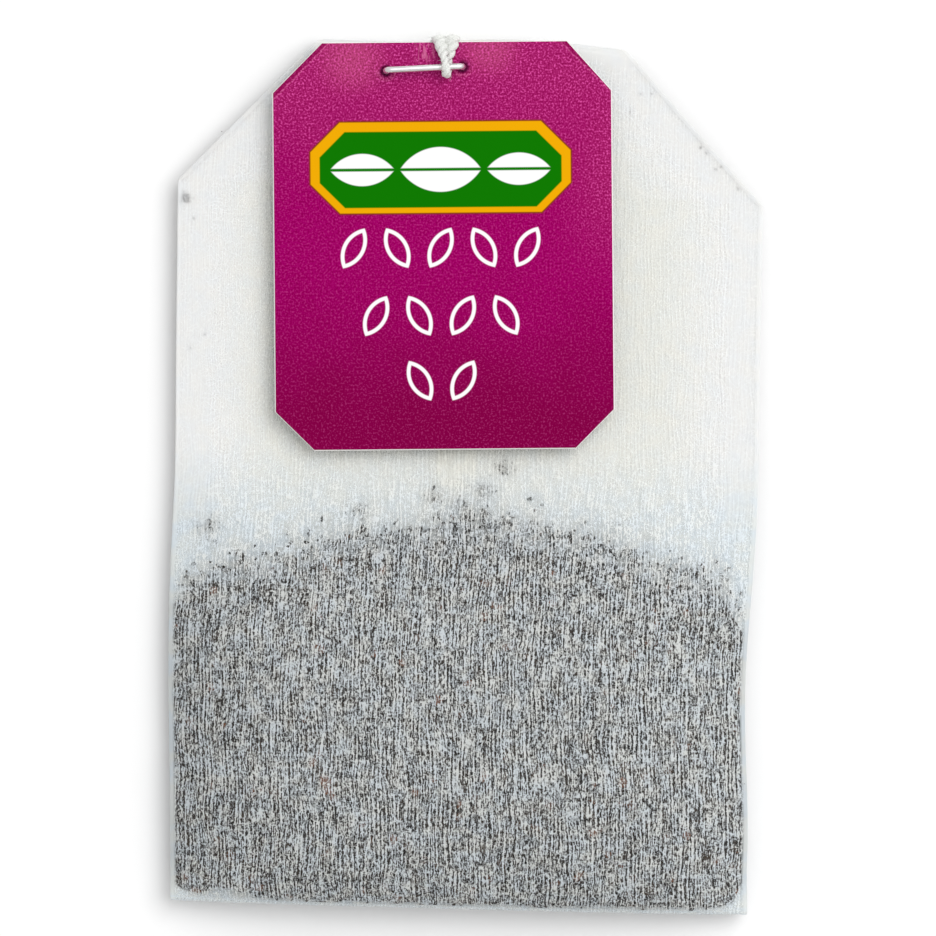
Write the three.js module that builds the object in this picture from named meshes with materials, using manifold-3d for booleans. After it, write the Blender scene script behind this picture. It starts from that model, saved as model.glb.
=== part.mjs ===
// A double-chamber tea bag with its string and tag, lying on its back, in millimetres.
// X runs across the bag, Y from the bottom fold to the head, Z up off the table.
// The origin is on the table, under the middle of the bag.

import * as THREE from "three";
import { mergeVertices } from "three/addons/utils/BufferGeometryUtils.js";
import Module from "manifold-3d";

const { smoothstep, lerp, clamp } = THREE.MathUtils;

// The folded bag. Heights along the bag are counted up from the bottom fold.
const BAG_HEIGHT = 62.2;
const BOTTOM_WIDTH = 41.4;
const SHOULDER_WIDTH = 42.0;
const SHOULDER_HEIGHT = 51.6; // where the corner folds begin
const HEAD_WIDTH = 22.0;
const HEAD_SKEW = 0.03; // the head is folded this much off square, in mm per mm
const SKEW_FROM = 30; // the skew grows from this height up
const SKEW_FULL = 50; // and is full from here on
const PLEAT_HEIGHT = 8.0; // the middle crest of the W fold at the bottom
const PLEAT_EASE = 4.0; // above the crest the chambers close together over this height
const FLAP_LENGTH = 6.6; // the head folded over onto the back
const INNER_FLAP_LENGTH = 5.4; // its inner layer ends short of the outer one
const CORNER_LEAF_EDGE = 4.6; // a folded-in corner reaches this near the middle line
const CORNER_LEAF_GAP = 0.2; // and stops this far below the head fold

// The filter paper, drawn a little thicker than the real 0.05 mm so that it stays a sound solid.
const PAPER = 0.08;
const TUBE_SPACE = 0.06; // inside the pressed tube, between its two plies
const LAYER_SPACE = 0.06; // between one folded layer and the next

// The two chambers and the tea in them.
const FRONT_CHAMBER = 3.3; // depth where it is full
const BACK_CHAMBER = 3.5;
const MIDDLE_BOW = 1.65; // the walls between the chambers curve up by this much
const BOTTOM_ROUNDING = 8.0;
const FULL_BELOW = 15.0; // chambers are full up to here
const EMPTY_ABOVE = 33.0; // and pressed flat from here on
const TEA_CLEARANCE = 0.2;
const TEA_FOOT = 1.0; // the heap starts above this height
const TEA_TOP = 27.5;
const TEA_SIDES_DROP = 4.2; // the heap's top is this much lower at the sides
const TEA_EDGE = 0.9; // share of the half width that the heap fills

// Staples, bent from one round wire.
const WIRE = 0.46;
const STAPLE_GAP = 0.1; // between the wire and what it lies against
const CLINCH_GAP = 0.16; // from the clinched wire up to the flap
const WIRE_BEND = 0.4;
const LEG_HOLE_RADIUS = 0.35;
const LEG_HOLE_DEPTH = 6.0; // through every layer of the head
const BAG_STAPLE = { width: 5.7, height: 57.5, clinch: 2.0 };
const TAG_STAPLE = { width: 5.5, x: -1.25, y: 12.63, clinch: 1.6, turn: 2.4 };

// The card tag, which lies on the front of the head.
const TAG_WIDTH = 24.3;
const TAG_LENGTH = 29.2;
const TAG_THICKNESS = 0.28;
const TAG_TOP_CORNER = 3.6;
const TAG_TOP_RIGHT_CORNER = 3.2; // cut a little shorter on the right
const TAG_BOTTOM_CORNER = 2.8;
const TAG_CENTRE = { x: -1.86, y: 16.3 };
const TAG_TURN = 1.4; // degrees, to the left

// The string, and the round coil of its spare length that lies under the tag.
const STRING = 0.5;
const STRING_GAP = 0.1;
const COIL_CENTRE = { x: -1.9, y: 13.9 };
const COIL_INNER_RADIUS = 1.5;
const COIL_OUTER_RADIUS = 4.05;
const COIL_LAYERS = 2;

// How finely the round shapes are divided.
const TURN_STEPS = 4;
const ROUND_SIDES = 8;
const HOLE_SIDES = 10;
const COIL_SIDES = 28;
const STAPLE_STEPS = 44;
const LOWER_STRING_STEPS = 8;
const UPPER_STRING_STEPS = 64;

// Levels of the layers at the flat head, as the middle of each layer above the table.
const TUBE = 2 * PAPER + TUBE_SPACE;
const LAYER = TUBE + LAYER_SPACE;
const OUTER_FLAP_Z = WIRE + CLINCH_GAP + TUBE / 2;
const INNER_FLAP_Z = OUTER_FLAP_Z + LAYER;
const CORNER_LEAF_Z = INNER_FLAP_Z + LAYER;
const BACK_TUBE_Z = CORNER_LEAF_Z + LAYER;
const FRONT_TUBE_Z = BACK_TUBE_Z + LAYER;
const MIDDLE_Z = (BACK_TUBE_Z + FRONT_TUBE_Z) / 2;
const HEAD_TOP_Z = FRONT_TUBE_Z + TUBE / 2;
const COIL_Z = HEAD_TOP_Z + STRING_GAP;
const TAG_BACK_Z = COIL_Z + COIL_LAYERS * STRING + STRING_GAP;
const TAG_FRONT_Z = TAG_BACK_Z + TAG_THICKNESS;
const TAG_CROWN_Z = 4.3; // the tag staple's crown stands over the string that runs under it

// Turns of the folded tube, as the radius of its middle line.
const OUTER_HEAD_TURN = (FRONT_TUBE_Z - OUTER_FLAP_Z) / 2;
const INNER_HEAD_TURN = (BACK_TUBE_Z - INNER_FLAP_Z) / 2;
const PLEAT_TURN = LAYER / 2;
const HEAD_TURN_Y = BAG_HEIGHT - OUTER_HEAD_TURN - TUBE / 2;
const BOTTOM_TURN_Y = PLEAT_TURN + TUBE / 2;

// Places across the bag, from one side fold to the other, where a section has its points.
const ACROSS = [-1, -0.96, -0.82, -0.5, 0, 0.5, 0.82, 0.96, 1];

const wasm = await Module();
wasm.setup();

function toSolid(geometry) {
  const bare = geometry.index ? geometry.toNonIndexed() : geometry.clone();
  bare.deleteAttribute("normal");
  bare.deleteAttribute("uv");
  const merged = mergeVertices(bare, 1e-4);
  return new wasm.Manifold(
    new wasm.Mesh({
      numProp: 3,
      vertProperties: merged.attributes.position.array,
      triVerts: new Uint32Array(merged.index.array),
    }),
  );
}

function toGeometry(solid) {
  const mesh = solid.getMesh();
  const geometry = new THREE.BufferGeometry();
  geometry.setAttribute("position", new THREE.BufferAttribute(mesh.vertProperties, 3));
  geometry.setIndex(new THREE.BufferAttribute(mesh.triVerts, 1));
  geometry.computeVertexNormals();
  return geometry;
}

function piece(name, geometry, material) {
  const mesh = new THREE.Mesh(geometry, material);
  mesh.name = name;
  return mesh;
}

// How far a chamber is open at a height: 0 at the bottom fold and above the tea, 1 where it is full.
function fullness(y) {
  const left = 1 - clamp((y - BOTTOM_TURN_Y) / BOTTOM_ROUNDING, 0, 1);
  const rounded = Math.sqrt(1 - left * left);
  return rounded * (1 - smoothstep(y, FULL_BELOW, EMPTY_ABOVE));
}

// The rise of the walls between the two chambers, at the middle line.
function bowAt(y) {
  return MIDDLE_BOW * (1 - smoothstep(y, FULL_BELOW, EMPTY_ABOVE));
}

// The chambers are apart by the W fold's two layers at the bottom, and lie together above it.
function splitAt(y) {
  return lerp(1.5 * LAYER, 0.5 * LAYER, smoothstep(y, PLEAT_HEIGHT, PLEAT_HEIGHT + PLEAT_EASE));
}

function bulge(across) {
  return 1 - across ** 4;
}

// Half the bag's width at a height. The corner folds narrow it towards the head.
function halfWidth(y) {
  if (y <= SHOULDER_HEIGHT) return lerp(BOTTOM_WIDTH, SHOULDER_WIDTH, y / SHOULDER_HEIGHT) / 2;
  const along = (y - SHOULDER_HEIGHT) / (BAG_HEIGHT - SHOULDER_HEIGHT);
  return lerp(SHOULDER_WIDTH, HEAD_WIDTH, along) / 2;
}

// The head, its flap and its folded corners all follow the slightly skewed head fold.
function skewed(x, y) {
  const share = clamp((y - SKEW_FROM) / (SKEW_FULL - SKEW_FROM), 0, 1);
  return y - HEAD_SKEW * (x + HEAD_WIDTH / 2) * share;
}

// One section of the flattened tube: where its middle lies, which way its outer ply faces,
// and how far the outer ply stands off at the middle line.
function section(y, z, facing, half, bow = 0, open = 0) {
  return { y, z, facing, half, bow, open };
}

// Sections round a fold, with the outer ply outside the turn (side 1) or inside it (side -1).
function turn(centreY, centreZ, radius, from, to, side, halfAt, bow = 0) {
  return Array.from({ length: TURN_STEPS + 1 }, (_, i) => {
    const angle = THREE.MathUtils.degToRad(lerp(from, to, i / TURN_STEPS));
    const y = centreY + radius * Math.cos(angle);
    const z = centreZ + radius * Math.sin(angle);
    const facing = { y: side * Math.cos(angle), z: side * Math.sin(angle) };
    return section(y, z, facing, halfAt(i / TURN_STEPS), bow);
  });
}

const UP = { y: 0, z: 1 };
const DOWN = { y: 0, z: -1 };
const RUN_HEIGHTS = [
  SHOULDER_HEIGHT,
  50,
  40,
  EMPTY_ABOVE,
  30,
  TEA_TOP,
  25,
  22.5,
  20,
  17.5,
  FULL_BELOW,
  12,
  10,
  8,
  6,
  4,
  2.6,
  1.5,
  0.8,
  0.45,
];

// The whole tube of filter paper in order: front flap, over the head, down the front chamber,
// up and down the W fold, up the back chamber, over the head inside the front layer, back flap.
function tubeSections() {
  const narrowing = (SHOULDER_WIDTH - HEAD_WIDTH) / 2 / (BAG_HEIGHT - SHOULDER_HEIGHT);
  const atTurn = halfWidth(HEAD_TURN_Y);
  const pastTurn = (radius) => atTurn - narrowing * Math.PI * radius;
  const flapHalf = (radius, length) => pastTurn(radius) - narrowing * length;
  const innerEnd = flapHalf(INNER_HEAD_TURN, INNER_FLAP_LENGTH);
  const bottomHalf = () => BOTTOM_WIDTH / 2;
  const front = RUN_HEIGHTS.map((y) =>
    section(y, MIDDLE_Z + splitAt(y), UP, halfWidth(y), bowAt(y), FRONT_CHAMBER * fullness(y)),
  );
  const back = RUN_HEIGHTS.map((y) =>
    section(y, MIDDLE_Z - splitAt(y), DOWN, halfWidth(y), bowAt(y), BACK_CHAMBER * fullness(y)),
  ).reverse();
  const limbs = [1, PLEAT_HEIGHT - 1];
  return [
    section(HEAD_TURN_Y - FLAP_LENGTH, OUTER_FLAP_Z, DOWN, flapHalf(OUTER_HEAD_TURN, FLAP_LENGTH)),
    ...turn(HEAD_TURN_Y, CORNER_LEAF_Z, OUTER_HEAD_TURN, -90, 90, 1, (t) =>
      lerp(pastTurn(OUTER_HEAD_TURN), atTurn, t),
    ),
    ...front,
    ...turn(BOTTOM_TURN_Y, MIDDLE_Z + LAYER, PLEAT_TURN, 90, 270, 1, bottomHalf, MIDDLE_BOW),
    ...limbs.map((y) => section(y, MIDDLE_Z + PLEAT_TURN, DOWN, halfWidth(y), MIDDLE_BOW)),
    ...turn(PLEAT_HEIGHT, MIDDLE_Z, PLEAT_TURN, 90, -90, -1, () => halfWidth(PLEAT_HEIGHT), MIDDLE_BOW),
    ...limbs.reverse().map((y) => section(y, MIDDLE_Z - PLEAT_TURN, UP, halfWidth(y), MIDDLE_BOW)),
    ...turn(BOTTOM_TURN_Y, MIDDLE_Z - LAYER, PLEAT_TURN, 90, 270, 1, bottomHalf, MIDDLE_BOW),
    ...back,
    ...turn(HEAD_TURN_Y, CORNER_LEAF_Z, INNER_HEAD_TURN, 90, -90, -1, (t) =>
      lerp(atTurn, pastTurn(INNER_HEAD_TURN), t),
    ),
    section(HEAD_TURN_Y - INNER_FLAP_LENGTH, INNER_FLAP_Z, UP, innerEnd),
  ];
}

// The closed outline of one section, drawn inset by part of the paper's thickness.
// The chamber that faces the table is pressed flat against it.
function outline(cut, inset) {
  const half = cut.half - inset;
  const point = (across, side) => {
    const swell = side > 0 ? cut.open * bulge(across) : 0;
    const off = Math.abs(across) === 1 ? 0 : side * (TUBE / 2 - inset + swell);
    const x = half * across;
    const z = cut.z + cut.bow * bulge(across) + cut.facing.z * off;
    return [x, skewed(x, cut.y + cut.facing.y * off), Math.max(z, inset)];
  };
  const outer = ACROSS.map((across) => point(across, 1));
  const inner = ACROSS.slice(1, -1).map((across) => point(across, -1)).reverse();
  return [...outer, ...inner];
}

// The paper between an outer and an inner skin, open at both ends as a cut tube is.
function sheetTube(sections) {
  const skins = [0, PAPER].map((inset) => sections.map((cut) => outline(cut, inset)));
  const around = skins[0][0].length;
  const positions = skins.flat(3);
  const at = (skin, row, k) => (skin * sections.length + row) * around + (k % around);
  const index = [];
  const quad = (a, b, c, d) => index.push(a, c, b, a, d, c);
  for (let k = 0; k < around; k++) {
    for (let row = 0; row + 1 < sections.length; row++) {
      quad(at(0, row, k), at(0, row, k + 1), at(0, row + 1, k + 1), at(0, row + 1, k));
      quad(at(1, row, k + 1), at(1, row, k), at(1, row + 1, k), at(1, row + 1, k + 1));
    }
    const last = sections.length - 1;
    quad(at(1, 0, k), at(1, 0, k + 1), at(0, 0, k + 1), at(0, 0, k));
    quad(at(0, last, k), at(0, last, k + 1), at(1, last, k + 1), at(1, last, k));
  }
  const geometry = new THREE.BufferGeometry();
  geometry.setAttribute("position", new THREE.Float32BufferAttribute(positions, 3));
  geometry.setIndex(index);
  return geometry;
}

// A flat piece of paper of a given outline, between two levels.
function leaf(points, bottom, top) {
  const shape = new THREE.Shape(points.map(([x, y]) => new THREE.Vector2(x, skewed(x, y))));
  const geometry = new THREE.ExtrudeGeometry(shape, { depth: top - bottom, bevelEnabled: false });
  return geometry.translate(0, 0, bottom);
}

// A corner folded in behind the bag: the leaf that lies on the back, and the slanted fold that
// carries it from the front layer. side is 1 on the right and -1 on the left.
function foldedCorner(side) {
  const half = SHOULDER_WIDTH / 2;
  const top = HEAD_TURN_Y - CORNER_LEAF_GAP;
  const topHalf = halfWidth(top);
  const fold = 2 * PAPER;
  const bottom = CORNER_LEAF_Z - PAPER;
  const place = (points) => (side > 0 ? points : points.map(([x, y]) => [-x, y]).reverse());
  const back = place([
    [CORNER_LEAF_EDGE, SHOULDER_HEIGHT],
    [half, SHOULDER_HEIGHT],
    [topHalf, top],
    [CORNER_LEAF_EDGE, top],
  ]);
  const slant = place([
    [half - fold, SHOULDER_HEIGHT],
    [half, SHOULDER_HEIGHT],
    [topHalf, top],
    [topHalf - fold, top],
  ]);
  const leafSolid = toSolid(leaf(back, bottom, bottom + fold));
  return leafSolid.add(toSolid(leaf(slant, bottom, HEAD_TOP_Z)));
}

function legHole(x) {
  const hole = new THREE.CylinderGeometry(LEG_HOLE_RADIUS, LEG_HOLE_RADIUS, LEG_HOLE_DEPTH, HOLE_SIDES);
  hole.rotateX(Math.PI / 2);
  return toSolid(hole.translate(x, BAG_STAPLE.height, 0));
}

function filterBag() {
  let bag = toSolid(sheetTube(tubeSections()));
  for (const side of [-1, 1]) bag = bag.add(foldedCorner(side));
  for (const side of [-1, 1]) bag = bag.subtract(legHole((side * BAG_STAPLE.width) / 2));
  return toGeometry(bag);
}

// A heap of tea that fills one chamber from the bottom. floor and roof give the chamber's walls.
function teaHeap(floor, roof) {
  const heights = RUN_HEIGHTS.filter((height) => height > TEA_FOOT && height <= TEA_TOP).reverse();
  const across = [-TEA_EDGE, ...ACROSS.slice(2, -2), TEA_EDGE];
  const rows = heights.map((height) => {
    const points = across.map((share) => {
      const y = height - TEA_SIDES_DROP * share ** 4 * (height / TEA_TOP) ** 4;
      return [(halfWidth(y) - PAPER) * share, y, bulge(share)];
    });
    const under = points.map(([x, y, edge]) => [x, y, floor(y, edge) + TEA_CLEARANCE]);
    const over = points.map(([x, y, edge]) => [x, y, roof(y, edge) - TEA_CLEARANCE]);
    return [...under, ...over.reverse()];
  });
  const around = 2 * across.length;
  const at = (row, k) => row * around + (k % around);
  const index = [];
  for (let row = 0; row + 1 < rows.length; row++) {
    for (let k = 0; k < around; k++) {
      index.push(at(row, k), at(row + 1, k), at(row + 1, k + 1));
      index.push(at(row, k), at(row + 1, k + 1), at(row, k + 1));
    }
  }
  for (let k = 0; k + 1 < across.length; k++) {
    const mirror = around - 1 - k;
    index.push(at(0, k), at(0, k + 1), at(0, mirror - 1));
    index.push(at(0, k), at(0, mirror - 1), at(0, mirror));
    const end = rows.length - 1;
    index.push(at(end, k), at(end, mirror - 1), at(end, k + 1));
    index.push(at(end, k), at(end, mirror), at(end, mirror - 1));
  }
  const geometry = new THREE.BufferGeometry();
  geometry.setAttribute("position", new THREE.Float32BufferAttribute(rows.flat(2), 3));
  geometry.setIndex(index);
  return geometry;
}

function frontTea() {
  const floor = (y, edge) => MIDDLE_Z + splitAt(y) + bowAt(y) * edge - TUBE_SPACE / 2;
  const roof = (y, edge) => floor(y, edge) + TUBE_SPACE + FRONT_CHAMBER * fullness(y) * edge;
  return teaHeap(floor, roof);
}

function backTea() {
  const roof = (y, edge) => MIDDLE_Z - splitAt(y) + bowAt(y) * edge + TUBE_SPACE / 2;
  const floor = (y, edge) =>
    Math.max(roof(y, edge) - TUBE_SPACE - BACK_CHAMBER * fullness(y) * edge, PAPER);
  return teaHeap(floor, roof);
}

function roundSection(diameter) {
  const corner = (i) => (2 * Math.PI * (i + 0.5)) / ROUND_SIDES;
  const points = Array.from({ length: ROUND_SIDES }, (_, i) =>
    new THREE.Vector2(Math.cos(corner(i)), Math.sin(corner(i))).multiplyScalar(diameter / 2),
  );
  return new THREE.Shape(points);
}

// A staple lying along X: crown on top, legs down, and the tips clinched in towards each other.
function staple(width, crownZ, clinchZ, clinch) {
  const half = width / 2;
  const corners = [
    [-half + clinch, clinchZ],
    [-half, clinchZ],
    [-half, crownZ],
    [half, crownZ],
    [half, clinchZ],
    [half - clinch, clinchZ],
  ].map(([x, z]) => new THREE.Vector3(x, 0, z));
  const wire = new THREE.CurvePath();
  let from = corners[0];
  for (let i = 1; i + 1 < corners.length; i++) {
    const corner = corners[i];
    const into = corner.clone().add(from.clone().sub(corner).setLength(WIRE_BEND));
    const out = corner.clone().add(corners[i + 1].clone().sub(corner).setLength(WIRE_BEND));
    wire.add(new THREE.LineCurve3(from, into));
    wire.add(new THREE.QuadraticBezierCurve3(into, corner, out));
    from = out;
  }
  wire.add(new THREE.LineCurve3(from, corners.at(-1)));
  return new THREE.ExtrudeGeometry(roundSection(WIRE), {
    steps: STAPLE_STEPS,
    extrudePath: wire,
    bevelEnabled: false,
  });
}

function tagCard() {
  const x = TAG_WIDTH / 2;
  const y = TAG_LENGTH / 2;
  const card = new THREE.Shape(
    [
      [-x, -y + TAG_BOTTOM_CORNER],
      [-x + TAG_BOTTOM_CORNER, -y],
      [x - TAG_BOTTOM_CORNER, -y],
      [x, -y + TAG_BOTTOM_CORNER],
      [x, y - TAG_TOP_CORNER],
      [x - TAG_TOP_RIGHT_CORNER, y],
      [-x + TAG_TOP_CORNER, y],
      [-x, y - TAG_TOP_CORNER],
    ].map(([cornerX, cornerY]) => new THREE.Vector2(cornerX, cornerY)),
  );
  const slope = THREE.MathUtils.degToRad(TAG_STAPLE.turn);
  for (const side of [-1, 1]) {
    const reach = (side * TAG_STAPLE.width) / 2;
    const hole = new THREE.Path();
    const holeX = TAG_STAPLE.x + reach * Math.cos(slope);
    const holeY = TAG_STAPLE.y + reach * Math.sin(slope);
    hole.absarc(holeX, holeY, LEG_HOLE_RADIUS, 0, 2 * Math.PI, true);
    card.holes.push(hole);
  }
  const options = { depth: TAG_THICKNESS, bevelEnabled: false, curveSegments: HOLE_SIDES / 2 };
  return new THREE.ExtrudeGeometry(card, options);
}

function stringAlong(points, steps) {
  const places = points.map((point) => new THREE.Vector3(...point));
  const route = new THREE.CatmullRomCurve3(places, false, "centripetal");
  return new THREE.ExtrudeGeometry(roundSection(STRING), {
    steps,
    extrudePath: route,
    bevelEnabled: false,
  });
}

// From the bag's staple down to the lower layer of the coil.
const LOWER_STRING_Z = COIL_Z + STRING / 2;
const STRING_TO_BAG = [
  [1.45, 25.87, LOWER_STRING_Z],
  [1.62, 24.6, LOWER_STRING_Z],
  [1.82, 22.6, LOWER_STRING_Z],
  [1.92, 20.3, LOWER_STRING_Z],
  [1.86, 17.9, LOWER_STRING_Z],
  [1.84, 16.3, LOWER_STRING_Z],
];

// From the coil's upper layer up behind the tag, over its top edge, down over the staple's crown,
// under it, and back over the edge to a short tail.
const UPPER_STRING_Z = COIL_Z + 1.5 * STRING;
const FACE_STRING_Z = TAG_FRONT_Z + STRING_GAP + STRING / 2;
const EDGE_STRING_Z = (TAG_BACK_Z + TAG_FRONT_Z) / 2;
const STRING_TO_TAG = [
  [-5.42, 16.7, UPPER_STRING_Z],
  [-5.38, 18.6, UPPER_STRING_Z],
  [-5.15, 20.8, UPPER_STRING_Z],
  [-4.7, 23.0, UPPER_STRING_Z],
  [-4.15, 25.2, UPPER_STRING_Z],
  [-3.65, 27.2, UPPER_STRING_Z],
  [-3.2, 28.9, UPPER_STRING_Z],
  [-2.75, 30.1, UPPER_STRING_Z],
  [-2.52, 30.85, UPPER_STRING_Z],
  [-2.44, 31.22, EDGE_STRING_Z - 0.34],
  [-2.4, 31.4, EDGE_STRING_Z],
  [-2.36, 31.24, EDGE_STRING_Z + 0.36],
  [-2.28, 30.75, FACE_STRING_Z + 0.03],
  [-2.12, 30.1, FACE_STRING_Z + 0.35],
  [-1.98, 29.55, TAG_CROWN_Z + 0.36],
  [-1.9, 29.05, TAG_CROWN_Z + 0.54],
  [-1.86, 28.66, TAG_CROWN_Z + 0.38],
  [-1.83, 28.5, TAG_CROWN_Z],
  [-1.8, 28.66, TAG_CROWN_Z - 0.38],
  [-1.76, 29.05, TAG_CROWN_Z - 0.53],
  [-1.66, 29.7, FACE_STRING_Z + 0.01],
  [-1.52, 30.5, FACE_STRING_Z + 0.01],
  [-1.46, 31.0, FACE_STRING_Z - 0.06],
  [-1.42, 31.36, EDGE_STRING_Z + 0.22],
  [-1.42, 31.38, EDGE_STRING_Z - 0.2],
  [-1.5, 31.0, UPPER_STRING_Z + 0.02],
  [-1.72, 30.5, UPPER_STRING_Z - 0.05],
  [-1.9, 30.1, UPPER_STRING_Z - 0.08],
];

function stringCoil() {
  const height = COIL_LAYERS * STRING;
  const profile = [
    [COIL_INNER_RADIUS, 0],
    [COIL_OUTER_RADIUS, 0],
    [COIL_OUTER_RADIUS, height],
    [COIL_INNER_RADIUS, height],
    [COIL_INNER_RADIUS, 0],
  ].map(([radius, z]) => new THREE.Vector2(radius, z));
  const ring = new THREE.LatheGeometry(profile, COIL_SIDES);
  return ring.rotateX(Math.PI / 2).translate(COIL_CENTRE.x, COIL_CENTRE.y, COIL_Z);
}

const filterPaper = new THREE.MeshStandardMaterial({ color: 0xeeeee6, roughness: 0.9 });
const tea = new THREE.MeshStandardMaterial({ color: 0x2a211b, roughness: 0.95 });
const printedCard = new THREE.MeshStandardMaterial({ color: 0x8f0a62, roughness: 0.6 });
const cotton = new THREE.MeshStandardMaterial({ color: 0xf2f0ea, roughness: 0.95 });
const stapleWire = new THREE.MeshStandardMaterial({ color: 0xc8c8ca, roughness: 0.3, metalness: 1 });

const bag = new THREE.Group();
bag.position.y = -BAG_HEIGHT / 2;
bag.add(piece("filter_bag", filterBag(), filterPaper));
bag.add(piece("tea_front", frontTea(), tea));
bag.add(piece("tea_back", backTea(), tea));
const bagCrownZ = HEAD_TOP_Z + STAPLE_GAP + WIRE / 2;
const bagStaple = staple(BAG_STAPLE.width, bagCrownZ, WIRE / 2, BAG_STAPLE.clinch);
const bagStaplePiece = piece("bag_staple", bagStaple, stapleWire);
bagStaplePiece.position.y = BAG_STAPLE.height;
bag.add(bagStaplePiece);

const tag = new THREE.Group();
tag.position.set(TAG_CENTRE.x, TAG_CENTRE.y, 0);
tag.rotation.z = THREE.MathUtils.degToRad(TAG_TURN);
const card = piece("tag", tagCard(), printedCard);
card.position.z = TAG_BACK_Z;
tag.add(card);
const tagClinchZ = TAG_BACK_Z - STAPLE_GAP - WIRE / 2;
const tagStaple = staple(TAG_STAPLE.width, TAG_CROWN_Z, tagClinchZ, TAG_STAPLE.clinch);
const tagStaplePiece = piece("tag_staple", tagStaple, stapleWire);
tagStaplePiece.position.set(TAG_STAPLE.x, TAG_STAPLE.y, 0);
tagStaplePiece.rotation.z = THREE.MathUtils.degToRad(TAG_STAPLE.turn);
tag.add(tagStaplePiece);

const string = new THREE.Group();
string.add(piece("string_to_bag", stringAlong(STRING_TO_BAG, LOWER_STRING_STEPS), cotton));
string.add(piece("string_coil", stringCoil(), cotton));
string.add(piece("string_to_tag", stringAlong(STRING_TO_TAG, UPPER_STRING_STEPS), cotton));

const teaBag = new THREE.Group();
teaBag.add(bag, tag, string);

export default teaBag;
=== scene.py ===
import math

import bpy
import numpy as np
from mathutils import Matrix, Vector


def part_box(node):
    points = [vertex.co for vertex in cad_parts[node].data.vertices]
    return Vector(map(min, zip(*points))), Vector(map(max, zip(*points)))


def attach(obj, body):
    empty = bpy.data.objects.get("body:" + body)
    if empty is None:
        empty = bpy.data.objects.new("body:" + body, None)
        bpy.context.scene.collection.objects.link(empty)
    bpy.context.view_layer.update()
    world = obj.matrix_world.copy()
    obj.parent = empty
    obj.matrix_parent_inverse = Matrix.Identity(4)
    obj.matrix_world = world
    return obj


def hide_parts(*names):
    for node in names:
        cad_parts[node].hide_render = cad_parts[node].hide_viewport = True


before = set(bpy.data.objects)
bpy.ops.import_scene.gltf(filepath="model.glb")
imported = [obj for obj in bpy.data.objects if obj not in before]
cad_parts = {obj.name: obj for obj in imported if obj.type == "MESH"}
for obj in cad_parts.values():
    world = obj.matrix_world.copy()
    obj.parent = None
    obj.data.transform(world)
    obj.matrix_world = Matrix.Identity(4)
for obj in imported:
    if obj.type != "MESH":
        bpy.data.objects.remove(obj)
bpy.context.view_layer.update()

# ---- The table, the light and the camera ----
# The bag lies on a plain pale table top, under soft daylight and one wide lamp up to the right.
# The camera looks straight down on it, and the bag lies a hair off square to the picture.
MM = 0.001
VIEW_WIDTH = 67.2 * MM
VIEW_CENTRE = (0.15 * MM, 0.43 * MM)
VIEW_TURN = math.radians(0.9)
LENS = 200
SENSOR = 36
FOCUS_LEVEL = 1.8 * MM  # the level at which the picture is that wide
TABLE_HALF = 0.6
TABLE_LEVEL = -0.01 * MM
DAYLIGHT = 0.66
LAMP_SIZE = 0.45
LAMP_PLACE = (0.22, 0.17, 0.50)
LAMP_POWER = 2.0
MATT_BOUNCES = 3  # how often matt surfaces pass light on


def feed(tree, socket, value):
    """Gives a socket a number, a colour or a link from another node."""
    if isinstance(value, bpy.types.NodeSocket):
        tree.links.new(value, socket)
    else:
        socket.default_value = value


def node(tree, kind, inputs=None, **settings):
    """Adds one node, with its settings and what goes into it."""
    made = tree.nodes.new("ShaderNode" + kind)
    for key, value in settings.items():
        setattr(made, key, value)
    for socket, value in (inputs or {}).items():
        feed(tree, made.inputs[socket], value)
    return made


def new_material(name):
    """An empty material and its node tree."""
    material = bpy.data.materials.new(name)
    material.use_nodes = True
    material.node_tree.nodes.clear()
    return material, material.node_tree


def show(tree, shader):
    """Ends a material: this shader is its surface."""
    node(tree, "OutputMaterial", {"Surface": shader})


def closed_mesh(name, points, faces, material):
    """A mesh object from points in millimetres, with one material."""
    mesh = bpy.data.meshes.new(name)
    mesh.from_pydata((np.asarray(points) * MM).tolist(), [], faces)
    mesh.materials.append(material)
    made = bpy.data.objects.new(name, mesh)
    bpy.context.scene.collection.objects.link(made)
    return made


table_paint, tree = new_material("pale_table")
matt = node(tree, "BsdfDiffuse", {"Color": (0.96, 0.96, 0.96, 1)})
show(tree, matt.outputs[0])
reach = TABLE_HALF / MM
corners = [(x, y, TABLE_LEVEL / MM) for x, y in ((-1, -1), (1, -1), (1, 1), (-1, 1))]
corners = [(x * reach, y * reach, z) for x, y, z in corners]
table = closed_mesh("table", corners, [(0, 1, 2, 3)], table_paint)

sky = bpy.data.worlds.new("soft_daylight")
sky.use_nodes = True
sky.node_tree.nodes["Background"].inputs["Color"].default_value = (1, 1, 1, 1)
sky.node_tree.nodes["Background"].inputs["Strength"].default_value = DAYLIGHT
bpy.context.scene.world = sky
bpy.context.scene.view_settings.view_transform = "Standard"
bpy.context.scene.cycles.diffuse_bounces = MATT_BOUNCES

lamp_data = bpy.data.lights.new("wide_lamp", "AREA")
lamp_data.size = LAMP_SIZE
lamp_data.energy = LAMP_POWER
lamp = bpy.data.objects.new("wide_lamp", lamp_data)
lamp.location = LAMP_PLACE
lamp.rotation_euler = lamp.location.to_track_quat("Z", "Y").to_euler()
bpy.context.scene.collection.objects.link(lamp)

camera_data = bpy.data.cameras.new("camera")
camera_data.lens = LENS
camera_data.sensor_width = SENSOR
camera_data.clip_start = 0.01
camera = bpy.data.objects.new("camera", camera_data)
camera.location = (*VIEW_CENTRE, FOCUS_LEVEL + VIEW_WIDTH * LENS / SENSOR)
camera.rotation_euler = (0, 0, VIEW_TURN)
bpy.context.scene.collection.objects.link(camera)
bpy.context.scene.camera = camera

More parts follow.
